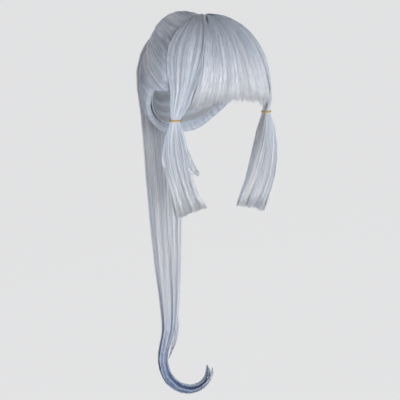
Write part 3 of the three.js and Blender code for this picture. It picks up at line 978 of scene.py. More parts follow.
@dataclass(frozen=True, kw_only=True)
class SheetHair(HairPiece):
    """Hair that lies in a sheet on the cap, placed by across and depth from 0 to 1."""

    bed_depth: float = 0.86
    bed_columns: int = 96
    bed_rows: int = 18
    bed_end: float = 1.0
    bed_map: float = 0.012
    depth_limits: Range = (0.04, 1.35)
    clump_blur: float = 0.3
    clump_middle: Range = (0.2, 0.8)
    clump_reach: float = 0.4
    own_reach: float = 0.6
    pull_spread: Range = (0.5, 1.2)
    loose_rises: Range = (0.1, 0.6)

    def map_across(self, across: Array) -> Array:
        """Place across the hair on the map."""
        return across

    def strands(self, draw: Chance) -> list[MeshPart]:
        """Strands combed along the sheet, drawn together in clumps towards their tips.

        Args:
            draw: Source of chance.

        Returns:
            The strands as one part.
        """
        comb = self.combing
        count = comb.count
        across = (draw.permutation(count) + draw.uniform(0, 1, count)) / count
        clump = np.floor(across * comb.clumps + draw.normal(0, self.clump_blur, count))
        clump = clump.astype(int) % comb.clumps
        centre = (np.arange(comb.clumps) + draw.uniform(*self.clump_middle, comb.clumps)) / comb.clumps
        lift = draw.normal(0, comb.lift, comb.clumps)
        reach = draw.normal(0, self.clump_reach, comb.clumps)
        depth = 1 - np.abs(draw.normal(0, comb.layer, count))
        start = comb.start_spread * draw.uniform(0, 1, count) ** 2
        end = comb.end + comb.end_spread * (self.own_reach * draw.normal(0, 1, count) + reach[clump])
        share = np.linspace(0, 1, comb.steps)
        along = mix(start[:, None], end[:, None], share)
        loose = draw.uniform(0, 1, count) < comb.loose
        unrest = np.where(loose, comb.loose_unrest, 1.0)[:, None]
        gap = from_nearest(centre[clump] - across)
        pull = comb.pull * draw.uniform(*self.pull_spread, (count, 1))
        drawn = pull * smooth_step(along, comb.pull_starts, 1)
        where = across[:, None] + gap[:, None] * drawn + unruly(draw, along, comb.wander * unrest)
        tuck = comb.tuck * (1 - smooth_step(share, 0, comb.tuck_share))
        above = np.where(loose, draw.uniform(*comb.loose_height, count), 0.0)[:, None]
        above = above * smooth_step(share, *self.loose_rises)
        height = depth[:, None] + lift[clump][:, None] + above - tuck
        height = np.clip(height + unruly(draw, along, comb.ripple * unrest), *self.depth_limits)
        points, outward = self.place(where, height, along)
        scale = draw.uniform(*comb.widths, count)
        return [self.shape.part(points, outward, self.map_across(across), along, scale)]

    def bed(self) -> MeshPart:
        """Closed sheet a little under the strands, from the root to near the tips.

        Returns:
            The sheet as one part.
        """
        across = np.linspace(0, 1, self.bed_columns)
        along = np.linspace(0, self.bed_end, self.bed_rows)[:, None]
        outer, _ = self.place(*np.broadcast_arrays(across, self.bed_depth, along))
        inner, _ = self.place(*np.broadcast_arrays(across, 0.0, along))
        rings = np.concatenate([outer, inner[:, ::-1]], axis=1)
        wide = np.concatenate([across, across[::-1]])
        high = np.concatenate([np.zeros_like(across), np.full_like(across, self.bed_map)])
        high = np.clip(along + high, 0, 1)
        spots = np.stack(np.broadcast_arrays(self.map_across(wide), high), axis=-1)
        return loft(rings, spots, wrap=False)


@dataclass(frozen=True, kw_only=True)
class Fringe(SheetHair):
    """Straight blunt fringe that fans out from the crown."""

    name: str = "fringe_hair"
    node: str = "fringe"
    finish: HairFinish = FRINGE_FIBRE
    combing: Combing = Combing(
        count=3400,
        steps=9,
        clumps=70,
        pull=0.22,
        pull_starts=0.5,
        wander=0.005,
        start_spread=0.22,
        end_spread=0.016,
        lift=0.014,
    )
    seed: int = 11
    bed_end: float = 0.9
    spread: Table = Table(
        "drop azimuth",
        ((1.5, 36), (10, 36.5), (42, 35), (60, 36.5), (74, 38.5), (85, 44), (96, 50)),
    )
    locks: int = 16
    relief: float = 0.35
    relief_starts: float = 0.25
    lock_salt: int = 5
    overlap: float = 1.4
    overlap_fades: Range = (0.6, 0.85)
    top_drop: float = -1.5
    end_drop: float = 88.6
    corner_extra: float = 5.2
    left_extra: float = 1.4
    left_grows: Range = (0.0, 0.6)
    end_jitter: float = 1.0
    end_salt: int = 3
    thins_from: float = 0.45
    thinner_outside: float = 0.16
    thinner_inside: float = 0.5
    parting_depth: float = 0.34
    parting_width: float = 0.1
    parting_places: Range = (0.1, -0.82)
    parting_bends: Range = (0.0, 0.1)
    parting_fades: Range = (0.16, 0.36)

    def end(self, across: Array) -> Array:
        """Angle below the crown of the fringe's end.

        Args:
            across: Place across the fringe.

        Returns:
            Degrees down from the crown.
        """
        sideways = 2 * across - 1
        place = np.clip(across, 0, 1) * self.locks
        lock = np.floor(place)
        blunt = mix(scatter(lock, self.end_salt), scatter(lock + 1, self.end_salt), place - lock)
        longer = self.corner_extra * sideways**2
        longer = longer + self.left_extra * smooth_step(sideways, *self.left_grows)
        return self.end_drop + longer + self.end_jitter * blunt

    def place(self, across: Array, depth: Array, along: Array) -> Placed:
        """Points of the fringe, with a short parting at the crown.

        Args:
            across: Place across the fringe, 0 at its right end.
            depth: Place through the fringe.
            along: Share of the length.

        Returns:
            The points and the ways out of the hair there.
        """
        sideways = 2 * across - 1
        drop = mix(self.top_drop, self.end(across), along)
        fade = smooth_step(along, *self.overlap_fades) * (sideways < 0)
        overlap = self.overlap * (1 - fade)
        way = direction(sideways * (self.spread.at("azimuth", drop) + overlap), drop)
        thin = smooth_step(along, self.thins_from, 1)
        outside = FRONT_HAIR.toward(HAIR_INSIDE, self.thinner_outside * thin)
        inside = HAIR_INSIDE.toward(FRONT_HAIR, self.thinner_inside * thin)
        parting = mix(*self.parting_places, smooth_step(along, *self.parting_bends))
        groove = np.exp(-(((sideways - parting) / self.parting_width) ** 2))
        groove = self.parting_depth * groove * (1 - smooth_step(along, *self.parting_fades))
        form = inside.toward(outside, depth * (1 - groove))
        relief = self.relief * lock_relief(across * self.locks, self.lock_salt)
        return form.raised(way, relief * np.minimum(1, along / self.relief_starts) * depth)


@dataclass(frozen=True, kw_only=True)
class SweptBack(SheetHair):
    """Hair combed from the parting, the temples and the nape to the root of the ponytail."""

    name: str = "swept_back_hair"
    node: str = "swept_back"
    finish: HairFinish = SWEPT_FIBRE
    combing: Combing = Combing(
        count=3100,
        steps=10,
        clumps=90,
        pull=0.35,
        pull_starts=0.05,
        wander=0.003,
        start_spread=0.4,
        end_spread=0.0,
        layer=0.07,
        lift=0.015,
        tuck=0.1,
        tuck_share=0.06,
        loose=0.005,
    )
    shape: StrandShape = StrandShape(root=0.02, root_width=0.7)
    seed: int = 23
    bed_rows: int = 16
    bed_columns: int = 120
    hem: Table = Table(
        "azimuth level",
        ((60, -82), (78, -94), (98, -97), (112, -118), (130, -146), (152, -168), (180, -174)),
    )
    parting: Table = Table(
        "drop azimuth",
        (
            (3, 165), (6.5, 130), (11, 106), (19, 91), (30, 84.5),
            (48, 84.5), (60, 81), (70, 77), (80, 72.5), (86, 70),
        ),
    )
    shares: tuple[float, ...] = (1, 0.95, 0.86, 0.72, 0.56, 0.4, 0.24, 0.1)
    angle_count: int = 361
    length_lines: int = 60
    skirt: float = 10.0
    first_arc: float = 20.0
    arc_step: float = 0.5
    hole: float = 16.0
    mound: float = 26.0
    root_along: float = 30.5
    root_radius: float = 14.4
    root_wall: float = 1.2
    locks: int = 28
    lock_salt: int = 0
    relief: float = 0.7
    edge_relief: float = 0.4
    edge_roll: float = 20.0
    nape_edge: float = 0.5
    parting_edge: float = 1.0
    parting_heights: Range = (0.05, 0.35)
    under_lock: float = 4.0
    pouf_height: float = 24.5
    pouf_half_width: float = 31.5
    pouf_rises: Range = (15.0, 35.0)
    pouf_falls: Range = (36.0, 70.5)
    pouf_depth: float = 0.6

    @cached_property
    def angles(self) -> Array:
        """Angles round the root, a degree apart."""
        return np.linspace(0, FULL_TURN, self.angle_count)

    @cached_property
    def edge_arcs(self) -> Array:
        """Arcs from the root to the edge of the hair, which reaches a little under the locks.

        Returns:
            Radians at each of the angles.
        """
        step = np.radians(self.arc_step)
        arc = np.full_like(self.angles, np.radians(self.first_arc))
        growing = np.ones_like(self.angles, bool)
        while growing.any():
            growing &= self.is_swept(GATHER.reached(self.angles, arc + step))
            arc = arc + step * growing
        height = GATHER.reached(self.angles, arc)[..., 2]
        return arc + np.radians(self.under_lock) * smooth_step(height, *self.parting_heights)

    @cached_property
    def lengths(self) -> Array:
        """Shares of the length at the hair's sections.

        Returns:
            Numbers that rise from 0 to 1.
        """
        rings = np.arange(len(self.shares) + 2)[:, None]
        across = np.linspace(0, 1, self.length_lines)
        points, _ = self.section(rings, across, np.ones_like(across))
        return length_shares(points)

    def is_swept(self, way: Array) -> Array:
        """Whether directions lie in the swept back hair.

        Args:
            way: Unit vectors from the middle of the cap.

        Returns:
            One truth for each vector.
        """
        drop = np.degrees(np.arccos(np.clip(way[..., 2], -1, 1)))
        azimuth = np.abs(np.degrees(np.arctan2(way[..., 0], -way[..., 1])))
        behind = azimuth > self.parting.at("azimuth", drop)
        above = drop < hem_drop(self.hem, azimuth)
        return behind & above & (drop > self.parting.column("drop")[0])

    def pouf(self, way: Array) -> Array:
        """Extra height of the puffed crown behind the parting.

        Args:
            way: Unit vectors from the middle of the cap.

        Returns:
            Heights in millimetres.
        """
        drop = np.degrees(np.arctan2(way[..., 1], way[..., 2]))
        aside = np.degrees(np.arcsin(np.clip(way[..., 0], -1, 1))) / self.pouf_half_width
        rise = smooth_step(drop, *self.pouf_rises) * (1 - smooth_step(drop, *self.pouf_falls))
        return self.pouf_height * rise * np.exp(-aside * aside)

    def on_cap(self, share: Array, across: Array, depth: Array) -> Placed:
        """Points where the hair lies on the cap.

        Args:
            share: Share of the way from the root to the edge.
            across: Place round the root, in turns.
            depth: Place through the hair.

        Returns:
            The points and the ways out of the hair there.
        """
        angle = FULL_TURN * across
        reach = np.interp(angle % FULL_TURN, self.angles, self.edge_arcs)
        arc = mix(np.radians(self.skirt), reach, share)
        way = GATHER.reached(angle, arc)
        full = smooth_step((reach - arc) * BACK_HAIR.side, 0, self.edge_roll)
        edge = mix(self.nape_edge, self.parting_edge, smooth_step(way[..., 2], *self.parting_heights))
        form = HAIR_INSIDE.toward(BACK_HAIR, mix(edge, 1, full) * depth)
        relief = self.relief * lock_relief((across % 1) * self.locks, self.lock_salt)
        relief = relief * mix(self.edge_relief, 1, full)
        puff = self.pouf(way) * full * np.minimum(1, depth / self.pouf_depth)
        return form.raised(way, relief * depth + puff)

    def section(self, ring: Array, across: Array, depth: Array) -> Placed:
        """Points of a numbered section, the last two of which run into the ponytail's root.

        Args:
            ring: Number of the section from the edge.
            across: Place round the root, in turns.
            depth: Place through the hair.

        Returns:
            The points and the ways out of the hair there.
        """
        ring, across, depth = np.broadcast_arrays(ring, across, depth)
        last = len(self.shares) - 1
        points, outward = self.on_cap(np.array(self.shares)[np.minimum(ring, last)], across, depth)
        angle = FULL_TURN * across
        mouth = GATHER.around(mix(CAP_WALL + HAIR_GAP, self.mound, depth), self.hole, angle)
        root = GATHER.around(self.root_along, self.root_radius - self.root_wall * (1 - depth), angle)
        away = unit(GATHER.around(0.0, 1.0, angle) - GATHER.around(0.0, 0.0, angle))
        at_mouth = (ring == last + 1)[..., None]
        at_root = (ring > last + 1)[..., None]
        points = np.where(at_mouth, mouth, np.where(at_root, root, points))
        return points, np.where(at_mouth | at_root, away, outward)

    def place(self, across: Array, depth: Array, along: Array) -> Placed:
        """Points of the hair from its edge to the root of the ponytail."""
        return along_sections(self.section, self.lengths, across, depth, along)

    def map_across(self, across: Array) -> Array:
        """Place across the hair on the map, alike on both sides so that it has no seam."""
        return np.abs(2 * across - 1)

    def bed(self) -> MeshPart:
        """Closed wall a little under the strands, all the way round the root.

        Returns:
            The wall as one part.
        """
        across = np.linspace(0, 1, self.bed_columns, endpoint=False)[:, None]
        along = np.linspace(0, self.bed_end, self.bed_rows)
        outer, _ = self.place(*np.broadcast_arrays(across, self.bed_depth, along))
        inner, _ = self.place(*np.broadcast_arrays(across, 0.0, along))
        rings = np.concatenate([outer, inner[:, ::-1]], axis=1)
        high = np.concatenate([along, along[::-1]])
        side = np.concatenate([np.zeros_like(along), np.full_like(along, self.bed_map)])
        wide = np.clip(self.map_across(across) + side, 0, 1)
        return loft(rings, np.stack(np.broadcast_arrays(wide, high), axis=-1), wrap=True)


def along_sections(section: Place, lengths: Array, across: Array, depth: Array, along: Array) -> Placed:
    """Smooth curves through numbered sections.

    Args:
        section: Function of ring number, across and depth that gives points and ways out.
        lengths: Share of the length at each section.
        across: Place across the hair.
        depth: Place through the hair.
        along: Share of the length.

    Returns:
        The points and the ways out of the hair there.
    """
    last = len(lengths) - 1
    number = np.interp(along, lengths, np.arange(last + 1.0))
    start = np.minimum(number.astype(int), last - 1)
    share = (number - start)[..., None]
    weights = (
        ((2 - share) * share - 1) * share / 2,
        ((3 * share - 5) * share * share + 2) / 2,
        ((4 - 3 * share) * share + 1) * share / 2,
        (share - 1) * share * share / 2,
    )
    points = 0.0
    outward = 0.0
    for shift, weight in zip((-1, 0, 1, 2), weights):
        spot, way = section(np.clip(start + shift, 0, last), across, depth)
        points = points + weight * spot
        outward = outward + weight * way
    beyond = np.maximum(along - 1, 0)[..., None]
    if beyond.any():
        tip, _ = section(np.full_like(start, last), across, depth)
        before, _ = section(np.full_like(start, last - 1), across, depth)
        points = points + (tip - before) * beyond / (lengths[last] - lengths[last - 1])
    return points, unit(outward)


def stations(first: Array, end: Array, steps: int, held: Sequence[float]) -> Array:
    """Steps along strands.

    Args:
        first: Share of the length at which each strand starts.
        end: Share of the length at which each strand ends.
        steps: Number of steps.
        held: Shares of the length that are steps of every strand.

    Returns:
        Shares of the length by strand and step.
    """
    if not held:
        return mix(first, end, np.linspace(0, 1, steps))
    before = round((steps - len(held)) * held[0])
    after = steps - len(held) - before
    above = mix(first, held[0], np.linspace(0, 1, before, endpoint=False))
    middle = np.broadcast_to(np.array(held), (len(first), len(held)))
    below = mix(held[-1], end, np.linspace(0, 1, after + 1)[1:])
    return np.concatenate([above, middle, below], axis=1)


def on_disc(radius: Array, turn: Array) -> Array:
    """Offsets of spots on a disc, from their radius and angle."""
    return radius[:, None] * np.stack([np.cos(turn), np.sin(turn)], axis=-1)


@dataclass(frozen=True, kw_only=True)
class BundleHair(HairPiece):
    """Hair in a bundle, placed by two offsets from the middle of its section, each from -1 to 1."""

    wisp_combing: Combing
    bed_radius: float = 0.84
    bed_sides: int = 48
    bed_rows: int = 60
    bed_end: float = 0.96
    bed_narrows: float = 0.6
    bed_tapers: float = 0.8
    clump_area: Range = (0.15, 0.95)
    clump_reach: float = 0.5
    pull_spread: Range = (0.4, 1.2)
    least_radius: float = 0.05

    def combed(self, place: Place, comb: Combing, draw: Chance, held: Sequence[float] = ()) -> MeshPart:
        """Strands along a bundle, most of them near its outside, drawn together in clumps.

        Args:
            place: Function of two offsets and the share of the length, as the piece's own.
            comb: How the strands lie.
            draw: Source of chance.
            held: Shares of the length that are steps of every strand.

        Returns:
            The strands as one part.
        """
        count = comb.count
        turn = FULL_TURN * (draw.permutation(count) + draw.uniform(0, 1, count)) / count
        radius = np.clip(1 - np.abs(draw.normal(0, comb.layer, count)), self.least_radius, 1)
        spot = on_disc(radius, turn)
        centre_place = np.arange(comb.clumps) + draw.uniform(0, 1, comb.clumps)
        centre_radius = np.sqrt(draw.uniform(*self.clump_area, comb.clumps))
        centre = on_disc(centre_radius, FULL_TURN * centre_place / comb.clumps)
        clump = np.linalg.norm(spot[:, None] - centre, axis=-1).argmin(axis=1)
        reach = draw.normal(0, self.clump_reach, comb.clumps)
        first = comb.start + comb.start_spread * draw.uniform(0, 1, count) ** 2
        end = comb.end + comb.end_spread * (reach[clump] - np.abs(draw.normal(0, 1, count)))
        along = stations(first[:, None], end[:, None], comb.steps, held)
        loose = draw.uniform(0, 1, count) < comb.loose
        unrest = np.where(loose, comb.loose_unrest, 1.0)[:, None]
        pull = comb.pull * draw.uniform(*self.pull_spread, (count, 1))
        drawn = pull * smooth_step(along, comb.pull_starts, 1)
        offsets = []
        for axis in range(2):
            gap = centre[clump, axis] - spot[:, axis]
            wave = unruly(draw, along, comb.wander * unrest)
            offsets.append(spot[:, axis, None] + gap[:, None] * drawn + wave)
        points, outward = place(offsets[0], offsets[1], along)
        scale = draw.uniform(*comb.widths, count)
        across_map = np.abs(turn / np.pi - 1)
        return self.shape.part(points, outward, across_map, mix(*comb.map_span, along), scale)

    def bed(self) -> MeshPart:
        """Closed body inside the strands.

        Returns:
            The body as one part.
        """
        turn = FULL_TURN * (np.arange(self.bed_sides) + 0.5) / self.bed_sides
        along = np.linspace(0, self.bed_end, self.bed_rows)[:, None]
        narrow = smooth_step(along, self.bed_tapers * self.bed_end, self.bed_end)
        radius = self.bed_radius * mix(1, self.bed_narrows, narrow)
        wide, deep, high = np.broadcast_arrays(radius * np.cos(turn), radius * np.sin(turn), along)
        rings, _ = self.place(wide, deep, high)
        spots = np.stack(np.broadcast_arrays(np.abs(turn / np.pi - 1), along), axis=-1)
        return loft(rings, spots, wrap=False)


@dataclass(frozen=True)
class Bundle:
    """Bundle of round or oval section along rows of x, y, z, half width and half depth."""

    rows: Rows
    locks: int = 1
    relief: float = 0.0
    locks_form: Range = (0.17, 0.35)
    lock_salt: int = 13
    fineness: int = 12

    @cached_property
    def line(self) -> Array:
        """Fine points of the middle line with the half sizes there.

        Returns:
            Rows of five numbers, as the bundle's own rows.
        """
        count = len(self.rows)
        numbered = tuple((number, *row) for number, row in enumerate(self.rows))
        table = Table("number x y z width depth", numbered)
        fine = np.linspace(0, count - 1, self.fineness * (count - 1) + 1)
        return np.stack([table.at(name, fine) for name in table.names.split()[1:]], axis=-1)

    @cached_property
    def frames(self) -> Array:
        """Ways aside and across at each fine point.

        Returns:
            Rows of six numbers.
        """
        ahead = unit(np.gradient(self.line[:, :3], axis=0))
        aside = SIDEWAYS
        asides = []
        for step in ahead:
            aside = unit(aside - step * (aside @ step))
            asides.append(aside)
        return np.concatenate([asides, np.cross(ahead, asides)], axis=1)

    @cached_property
    def lengths(self) -> Array:
        """Share of the length at each fine point."""
        return length_shares(self.line[:, None, :3])

    def read(self, held: Array, along: Array) -> Array:
        """Columns of an array along the line at shares of its length."""
        return np.stack([np.interp(along, self.lengths, column) for column in held.T], axis=-1)

    def place(self, wide: Array, deep: Array, along: Array) -> Placed:
        """Points of the bundle.

        Args:
            wide: Offset along the half width, from -1 to 1.
            deep: Offset along the half depth, from -1 to 1.
            along: Share of the length.

        Returns:
            The points and the ways out of the bundle there.
        """
        line = self.read(self.line, along)
        frames = self.read(self.frames, along)
        aside, across = frames[..., :3], frames[..., 3:]
        half_width, half_depth = line[..., 3:4], line[..., 4:5]
        turn = np.arctan2(deep, wide) % FULL_TURN
        free = smooth_step(along, *self.locks_form) * np.minimum(1, wide * wide + deep * deep)
        groove = 1 + self.relief * free * lock_relief(turn / FULL_TURN * self.locks, self.lock_salt)
        wide = (wide * groove)[..., None]
        deep = (deep * groove)[..., None]
        points = line[..., :3] + aside * wide * half_width + across * deep * half_depth
        return points, unit(aside * wide / half_width + across * deep / half_depth)


@dataclass(frozen=True, kw_only=True)
class Ponytail(BundleHair):
    """Long free bundle at the back, with a curled end and a few wisps."""

    name: str = "ponytail_hair"
    node: str = "ponytail"
    slot: str = "tail_hair"
    finish: HairFinish = TAIL_FIBRE
    combing: Combing = Combing(
        count=980,
        steps=31,
        clumps=34,
        pull=0.3,
        pull_starts=0.35,
        wander=0.05,
        start=0.034,
        start_spread=0.01,
        end_spread=0.05,
        layer=0.24,
        loose=0.03,
    )
    wisp_combing: Combing = Combing(
        count=60,
        steps=10,
        clumps=5,
        pull=0.3,
        pull_starts=0.2,
        wander=0.15,
        start_spread=0.25,
        end_spread=0.08,
        layer=0.5,
        loose=0.05,
        map_span=(0.5, 0.7),
    )
    seed: int = 37
    shape: StrandShape = StrandShape(root=0.015, root_width=0.8)
    locks: int = 11
    relief: float = 0.1
    root_rows: Rows = ((2.6, 15), (22, 14.4), (28, 12.9), (34, 13.4), (40, 14.4))
    bend_shares: tuple[float, ...] = (0.05, 0.06, 0.07, 0.082, 0.096, 0.112)
    rows: Rows = (
        (0, 129, -34.5, 18, 14),
        (0, 139, -46, 26, 16),
        (0, 146, -64.5, 33.5, 18),
        (0, 150, -90, 37, 19.5),
        (0, 148, -118, 36.5, 20),
        (0, 143.5, -152, 32.5, 20),
        (0, 137, -202, 30, 19),
        (0, 131, -262, 28, 18),
        (0, 124, -332, 25.5, 16),
        (0, 118, -402, 20.5, 14),
        (1, 115, -456, 15.5, 12),
        (-1, 113.5, -502, 10.5, 9.5),
        (-11, 113, -530, 7.8, 8),
        (-13, 113, -554, 7.2, 7.6),
        (-3, 112.5, -580, 7.6, 7.6),
        (16, 112, -597, 7.6, 7.4),
        (40, 111.5, -604, 7, 6.8),
        (63, 111, -598, 5.8, 5.6),
        (71, 110.5, -583, 4.6, 4.4),
        (67, 110, -567, 1, 1),
    )
    wisp_rows: tuple[Rows, ...] = (
        ((6, 114, -456, 6), (12, 114, -490, 5.5), (9, 114, -520, 3.6), (-2, 113.5, -548, 1)),
        ((48, 111.5, -603, 4.5), (68, 110, -595, 4), (76, 109, -583, 2.6), (76, 108, -572, 0.8)),
    )

    @cached_property
    def bundle(self) -> Bundle:
        """Bundle from the inside of the cap to the tip."""
        root = [(*GATHER.around(along, 0.0, 0.0), radius, radius) for along, radius in self.root_rows]
        return Bundle((*root, *self.rows), self.locks, self.relief)

    def place(self, across: Array, depth: Array, along: Array) -> Placed:
        """Points of the tail from the inside of the cap to its tip."""
        return self.bundle.place(across, depth, along)

    def strands(self, draw: Chance) -> list[MeshPart]:
        """Strands of the tail from under its band, and of its wisps.

        Args:
            draw: Source of chance.

        Returns:
            One part for the tail and one for each wisp.
        """
        parts = [self.combed(self.place, self.combing, draw, self.bend_shares)]
        for rows in self.wisp_rows:
            wisp = Bundle(tuple((*row, row[-1]) for row in rows))
            parts.append(self.combed(wisp.place, self.wisp_combing, draw))
        return parts


LOCK_COMBING = Combing(
    count=1560,
    steps=18,
    clumps=30,
    pull=0.2,
    pull_starts=0.7,
    wander=0.03,
    start_spread=0.12,
    end=1.009,
    end_spread=0.012,
    layer=0.2,
)
SPLIT_COMBING = replace(LOCK_COMBING, clumps=16, pull=0.36, pull_starts=0.74, end=1.005)
LOCK_WISP_COMBING = Combing(
    count=150,
    steps=9,
    clumps=9,
    pull=0.2,
    pull_starts=0.3,
    wander=0.12,
    start_spread=0.2,
    end_spread=0.2,
    layer=0.18,
    loose=0.05,
    map_span=(0.7, 1.0),
)
TIE_ROW = 2


def lock_ways(side: Side, azimuth: Number) -> tuple[Array, Array]:
    """Level ways out of a hanging lock and rearward across it.

    Args:
        side: Side of the wig.
        azimuth: Degrees from the front to the way that the lock faces.

    Returns:
        Unit vectors outward and rearward.
    """
    turn = np.radians(azimuth)
    flat = np.zeros_like(turn)
    outward = np.stack([side.value * np.sin(turn), -np.cos(turn), flat], axis=-1)
    rearward = np.stack([side.value * np.cos(turn), np.sin(turn), flat], axis=-1)
    return outward, rearward


@dataclass(frozen=True, kw_only=True)
class SideLock(BundleHair):
    """Lock at one side: a sheet on the cap, drawn into its tie and hanging free below.

    The sheet has rows of drop, front and rear azimuth. The free rows hold the outward place, y, z,
    half width, half depth and facing azimuth, and a wisp's rows the outward place, y, z and radius.
    """

    side: Side
    rows: Rows
    slant: float
    wisps: tuple[Rows, ...] = ()
    finish: HairFinish = LOCK_FIBRE
    combing: Combing = LOCK_COMBING
    wisp_combing: Combing = LOCK_WISP_COMBING
    shape: StrandShape = StrandShape(tip=0.92, tip_width=0.4)
    bed_end: float = 0.985
    bed_narrows: float = 0.9
    sheet: Rows = (
        (2, 48, 160),
        (6.5, 40, 124),
        (11, 38.4, 101),
        (19, 37.5, 88.4),
        (34, 36.2, 83),
        (50, 36.6, 82.8),
        (64, 38.2, 78),
        (76, 40.8, 72.6),
        (85, 46, 68),
    )
    wisp_flatness: float = 0.55
    under_fringe: float = 5.0
    under_fringe_low: float = 0.0
    under_changes: Range = (52.0, 76.0)
    under_dip: float = 0.08
    under_rises: float = 0.1
    rear_roll: float = 0.14
    rear_starts: float = 0.86
    deepest: float = 1.15
    edge_square: float = 0.05
    length_depth: float = 0.9
    tie_pinch: float = 0.88
    tie_share: float = 0.009
    locks: int = 7
    relief: float = 0.5
    lock_salt: int = 7

    @cached_property
    def lengths(self) -> Array:
        """Shares of the length at the lock's sections.

        Returns:
            Numbers that rise from 0 to 1.
        """
        rings = np.arange(len(self.sheet) + len(self.rows))[:, None]
        points, _ = self.section(rings, np.array([0.0]), np.array([self.length_depth]))
        return length_shares(points)

    def on_cap(self, ring: Array, wide: Array, deep: Array) -> Placed:
        """Points of a numbered section where the lock lies on the cap, its front under the fringe.

        Args:
            ring: Number of the section from the crown.
            wide: Offset from -1 at the front edge to 1 at the rear edge.
            deep: Offset outwards.

        Returns:
            The points and the ways out of the hair there.
        """
        drop, front, rear = np.moveaxis(np.array(self.sheet)[ring], -1, 0)
        low = smooth_step(drop, *self.under_changes)
        front = front - mix(self.under_fringe, self.under_fringe_low, low)
        share = (wide + 1) / 2
        half_depth = np.sqrt(np.maximum(1 - wide * wide, self.edge_square))
        depth = np.clip(deep / half_depth, -1, self.deepest)
        way = direction(self.side.value * mix(front, rear, share), drop)
        roll = self.rear_roll * smooth_step(share, self.rear_starts, 1)
        dip = self.under_dip * (1 - low) * (1 - smooth_step(share, 0, self.under_rises))
        outside = FRONT_HAIR.toward(HAIR_INSIDE, roll + dip)
        form = HAIR_INSIDE.toward(outside, (depth + 1) / 2)
        relief = self.relief * lock_relief(share * self.locks, self.lock_salt)
        return form.raised(way, relief * np.sin(np.radians(drop)) * np.maximum(depth, 0))

    def hanging(self, row: Array, wide: Array, deep: Array) -> Placed:
        """Points of a numbered free section: an oval that faces outwards.

        Args:
            row: Number of the free section.
            wide: Offset along the half width.
            deep: Offset along the half depth.

        Returns:
            The points and the ways out of the hair there.
        """
        out, fore, level, width, depth, azimuth = np.moveaxis(np.array(self.rows)[row], -1, 0)
        pinch = np.where(row == TIE_ROW, self.tie_pinch, 1.0)
        wide = wide * pinch
        deep = deep * pinch
        outward, rearward = lock_ways(self.side, azimuth)
        end = np.where(row == len(self.rows) - 1, -self.slant * wide, 0.0)
        centre = np.stack([self.side.value * out, fore, level + end], axis=-1)
        across = rearward * (width * wide)[..., None]
        through = outward * (depth * deep)[..., None]
        away = rearward * (wide / width)[..., None] + outward * (deep / depth)[..., None]
        return centre + across + through, unit(away)

    def section(self, ring: Array, wide: Array, deep: Array) -> Placed:
        """Points of a numbered section of the whole lock.

        Args:
            ring: Number of the section from the crown.
            wide: Offset along the half width.
            deep: Offset along the half depth.

        Returns:
            The points and the ways out of the hair there.
        """
        ring, wide, deep = np.broadcast_arrays(ring, wide, deep)
        first = len(self.sheet)
        lying, lying_out = self.on_cap(np.minimum(ring, first - 1), wide, deep)
        free, free_out = self.hanging(np.clip(ring - first, 0, len(self.rows) - 1), wide, deep)
        hangs = (ring >= first)[..., None]
        return np.where(hangs, free, lying), np.where(hangs, free_out, lying_out)

    def place(self, across: Array, depth: Array, along: Array) -> Placed:
        """Points of the lock from the crown to its end."""
        return along_sections(self.section, self.lengths, across, depth, along)

    def strands(self, draw: Chance) -> list[MeshPart]:
        """Strands of the lock and of its wisps.

        Args:
            draw: Source of chance.

        Returns:
            One part for the lock and one for each wisp.
        """
        knot = self.lengths[len(self.sheet) + TIE_ROW]
        held = (knot - self.tie_share, knot, knot + self.tie_share)
        parts = [self.combed(self.place, self.combing, draw, held)]
        sign = self.side.value
        for rows in self.wisps:
            oval = tuple((sign * out, *rest, self.wisp_flatness * rest[-1]) for out, *rest in rows)
            parts.append(self.combed(Bundle(oval).place, self.wisp_combing, draw))
        return parts


RIGHT_ROWS = (
    (75.5, -54.5, -112, 15.5, 7.5, 57),
    (78, -51, -123, 10.4, 6.8, 50),
    (79.5, -48.5, -133.5, 7.4, 6.2, 42),
    (80, -48, -141, 9.4, 7.2, 38),
    (81, -48, -157, 15, 9.5, 30),
    (81, -48.5, -178, 19.5, 11.5, 24),
    (78.5, -49, -200, 20.5, 12.5, 18),
    (73.5, -50, -223, 20, 12.5, 14),
    (67, -51, -245, 21, 12, 10),
    (60, -52, -263, 24, 10.5, 8),
    (55.5, -52.5, -273, 26.5, 8.5, 8),
)
LEFT_ROWS = (
    (75.5, -54.5, -112, 15.5, 7.5, 57),
    (77.5, -51, -122, 10.4, 6.8, 50),
    (78, -48.5, -132, 7.4, 6.2, 42),
    (77.5, -48, -140, 11, 8.4, 38),
    (77.5, -48, -156, 17.5, 11, 30),
    (76.5, -48.5, -176, 22, 13, 24),
    (73.5, -49, -200, 26.5, 14, 18),
    (68.5, -50, -226, 28.5, 14, 14),
    (60.5, -51, -248, 29.2, 13, 10),
    (53, -52, -266, 29.5, 11, 8),
    (50, -52.5, -274, 28.5, 8.5, 8),
)
RIGHT_WISPS = (
    ((84, -46, -150, 6), (92, -45, -175, 8), (94, -45, -195, 6.5), (91, -45, -213, 1.2)),
    ((75, -54, -160, 5), (68.5, -57, -184, 8), (60.5, -59.5, -202, 7), (48, -62.5, -217, 4)),
)


def deselect_all() -> None:
    """Leave object mode with nothing selected."""
    if bpy.context.object and bpy.context.object.mode != "OBJECT":
        bpy.ops.object.mode_set(mode="OBJECT")
    bpy.ops.object.select_all(action="DESELECT")


def mesh_points(piece: bpy.types.Object) -> Array:
    """Points of an object's mesh, in its own unit.

    Args:
        piece: The object.

    Returns:
        Points by number.
    """
    held = np.zeros(len(piece.data.vertices) * 3, np.float32)
    piece.data.vertices.foreach_get("co", held)
    return held.reshape(-1, 3).astype(float)


def set_mesh_points(piece: bpy.types.Object, points: Array) -> None:
    """Move the points of an object's mesh to places in millimetres."""
    piece.data.vertices.foreach_set("co", (points * MILLIMETRE).astype(np.float32).ravel())
    piece.data.update()


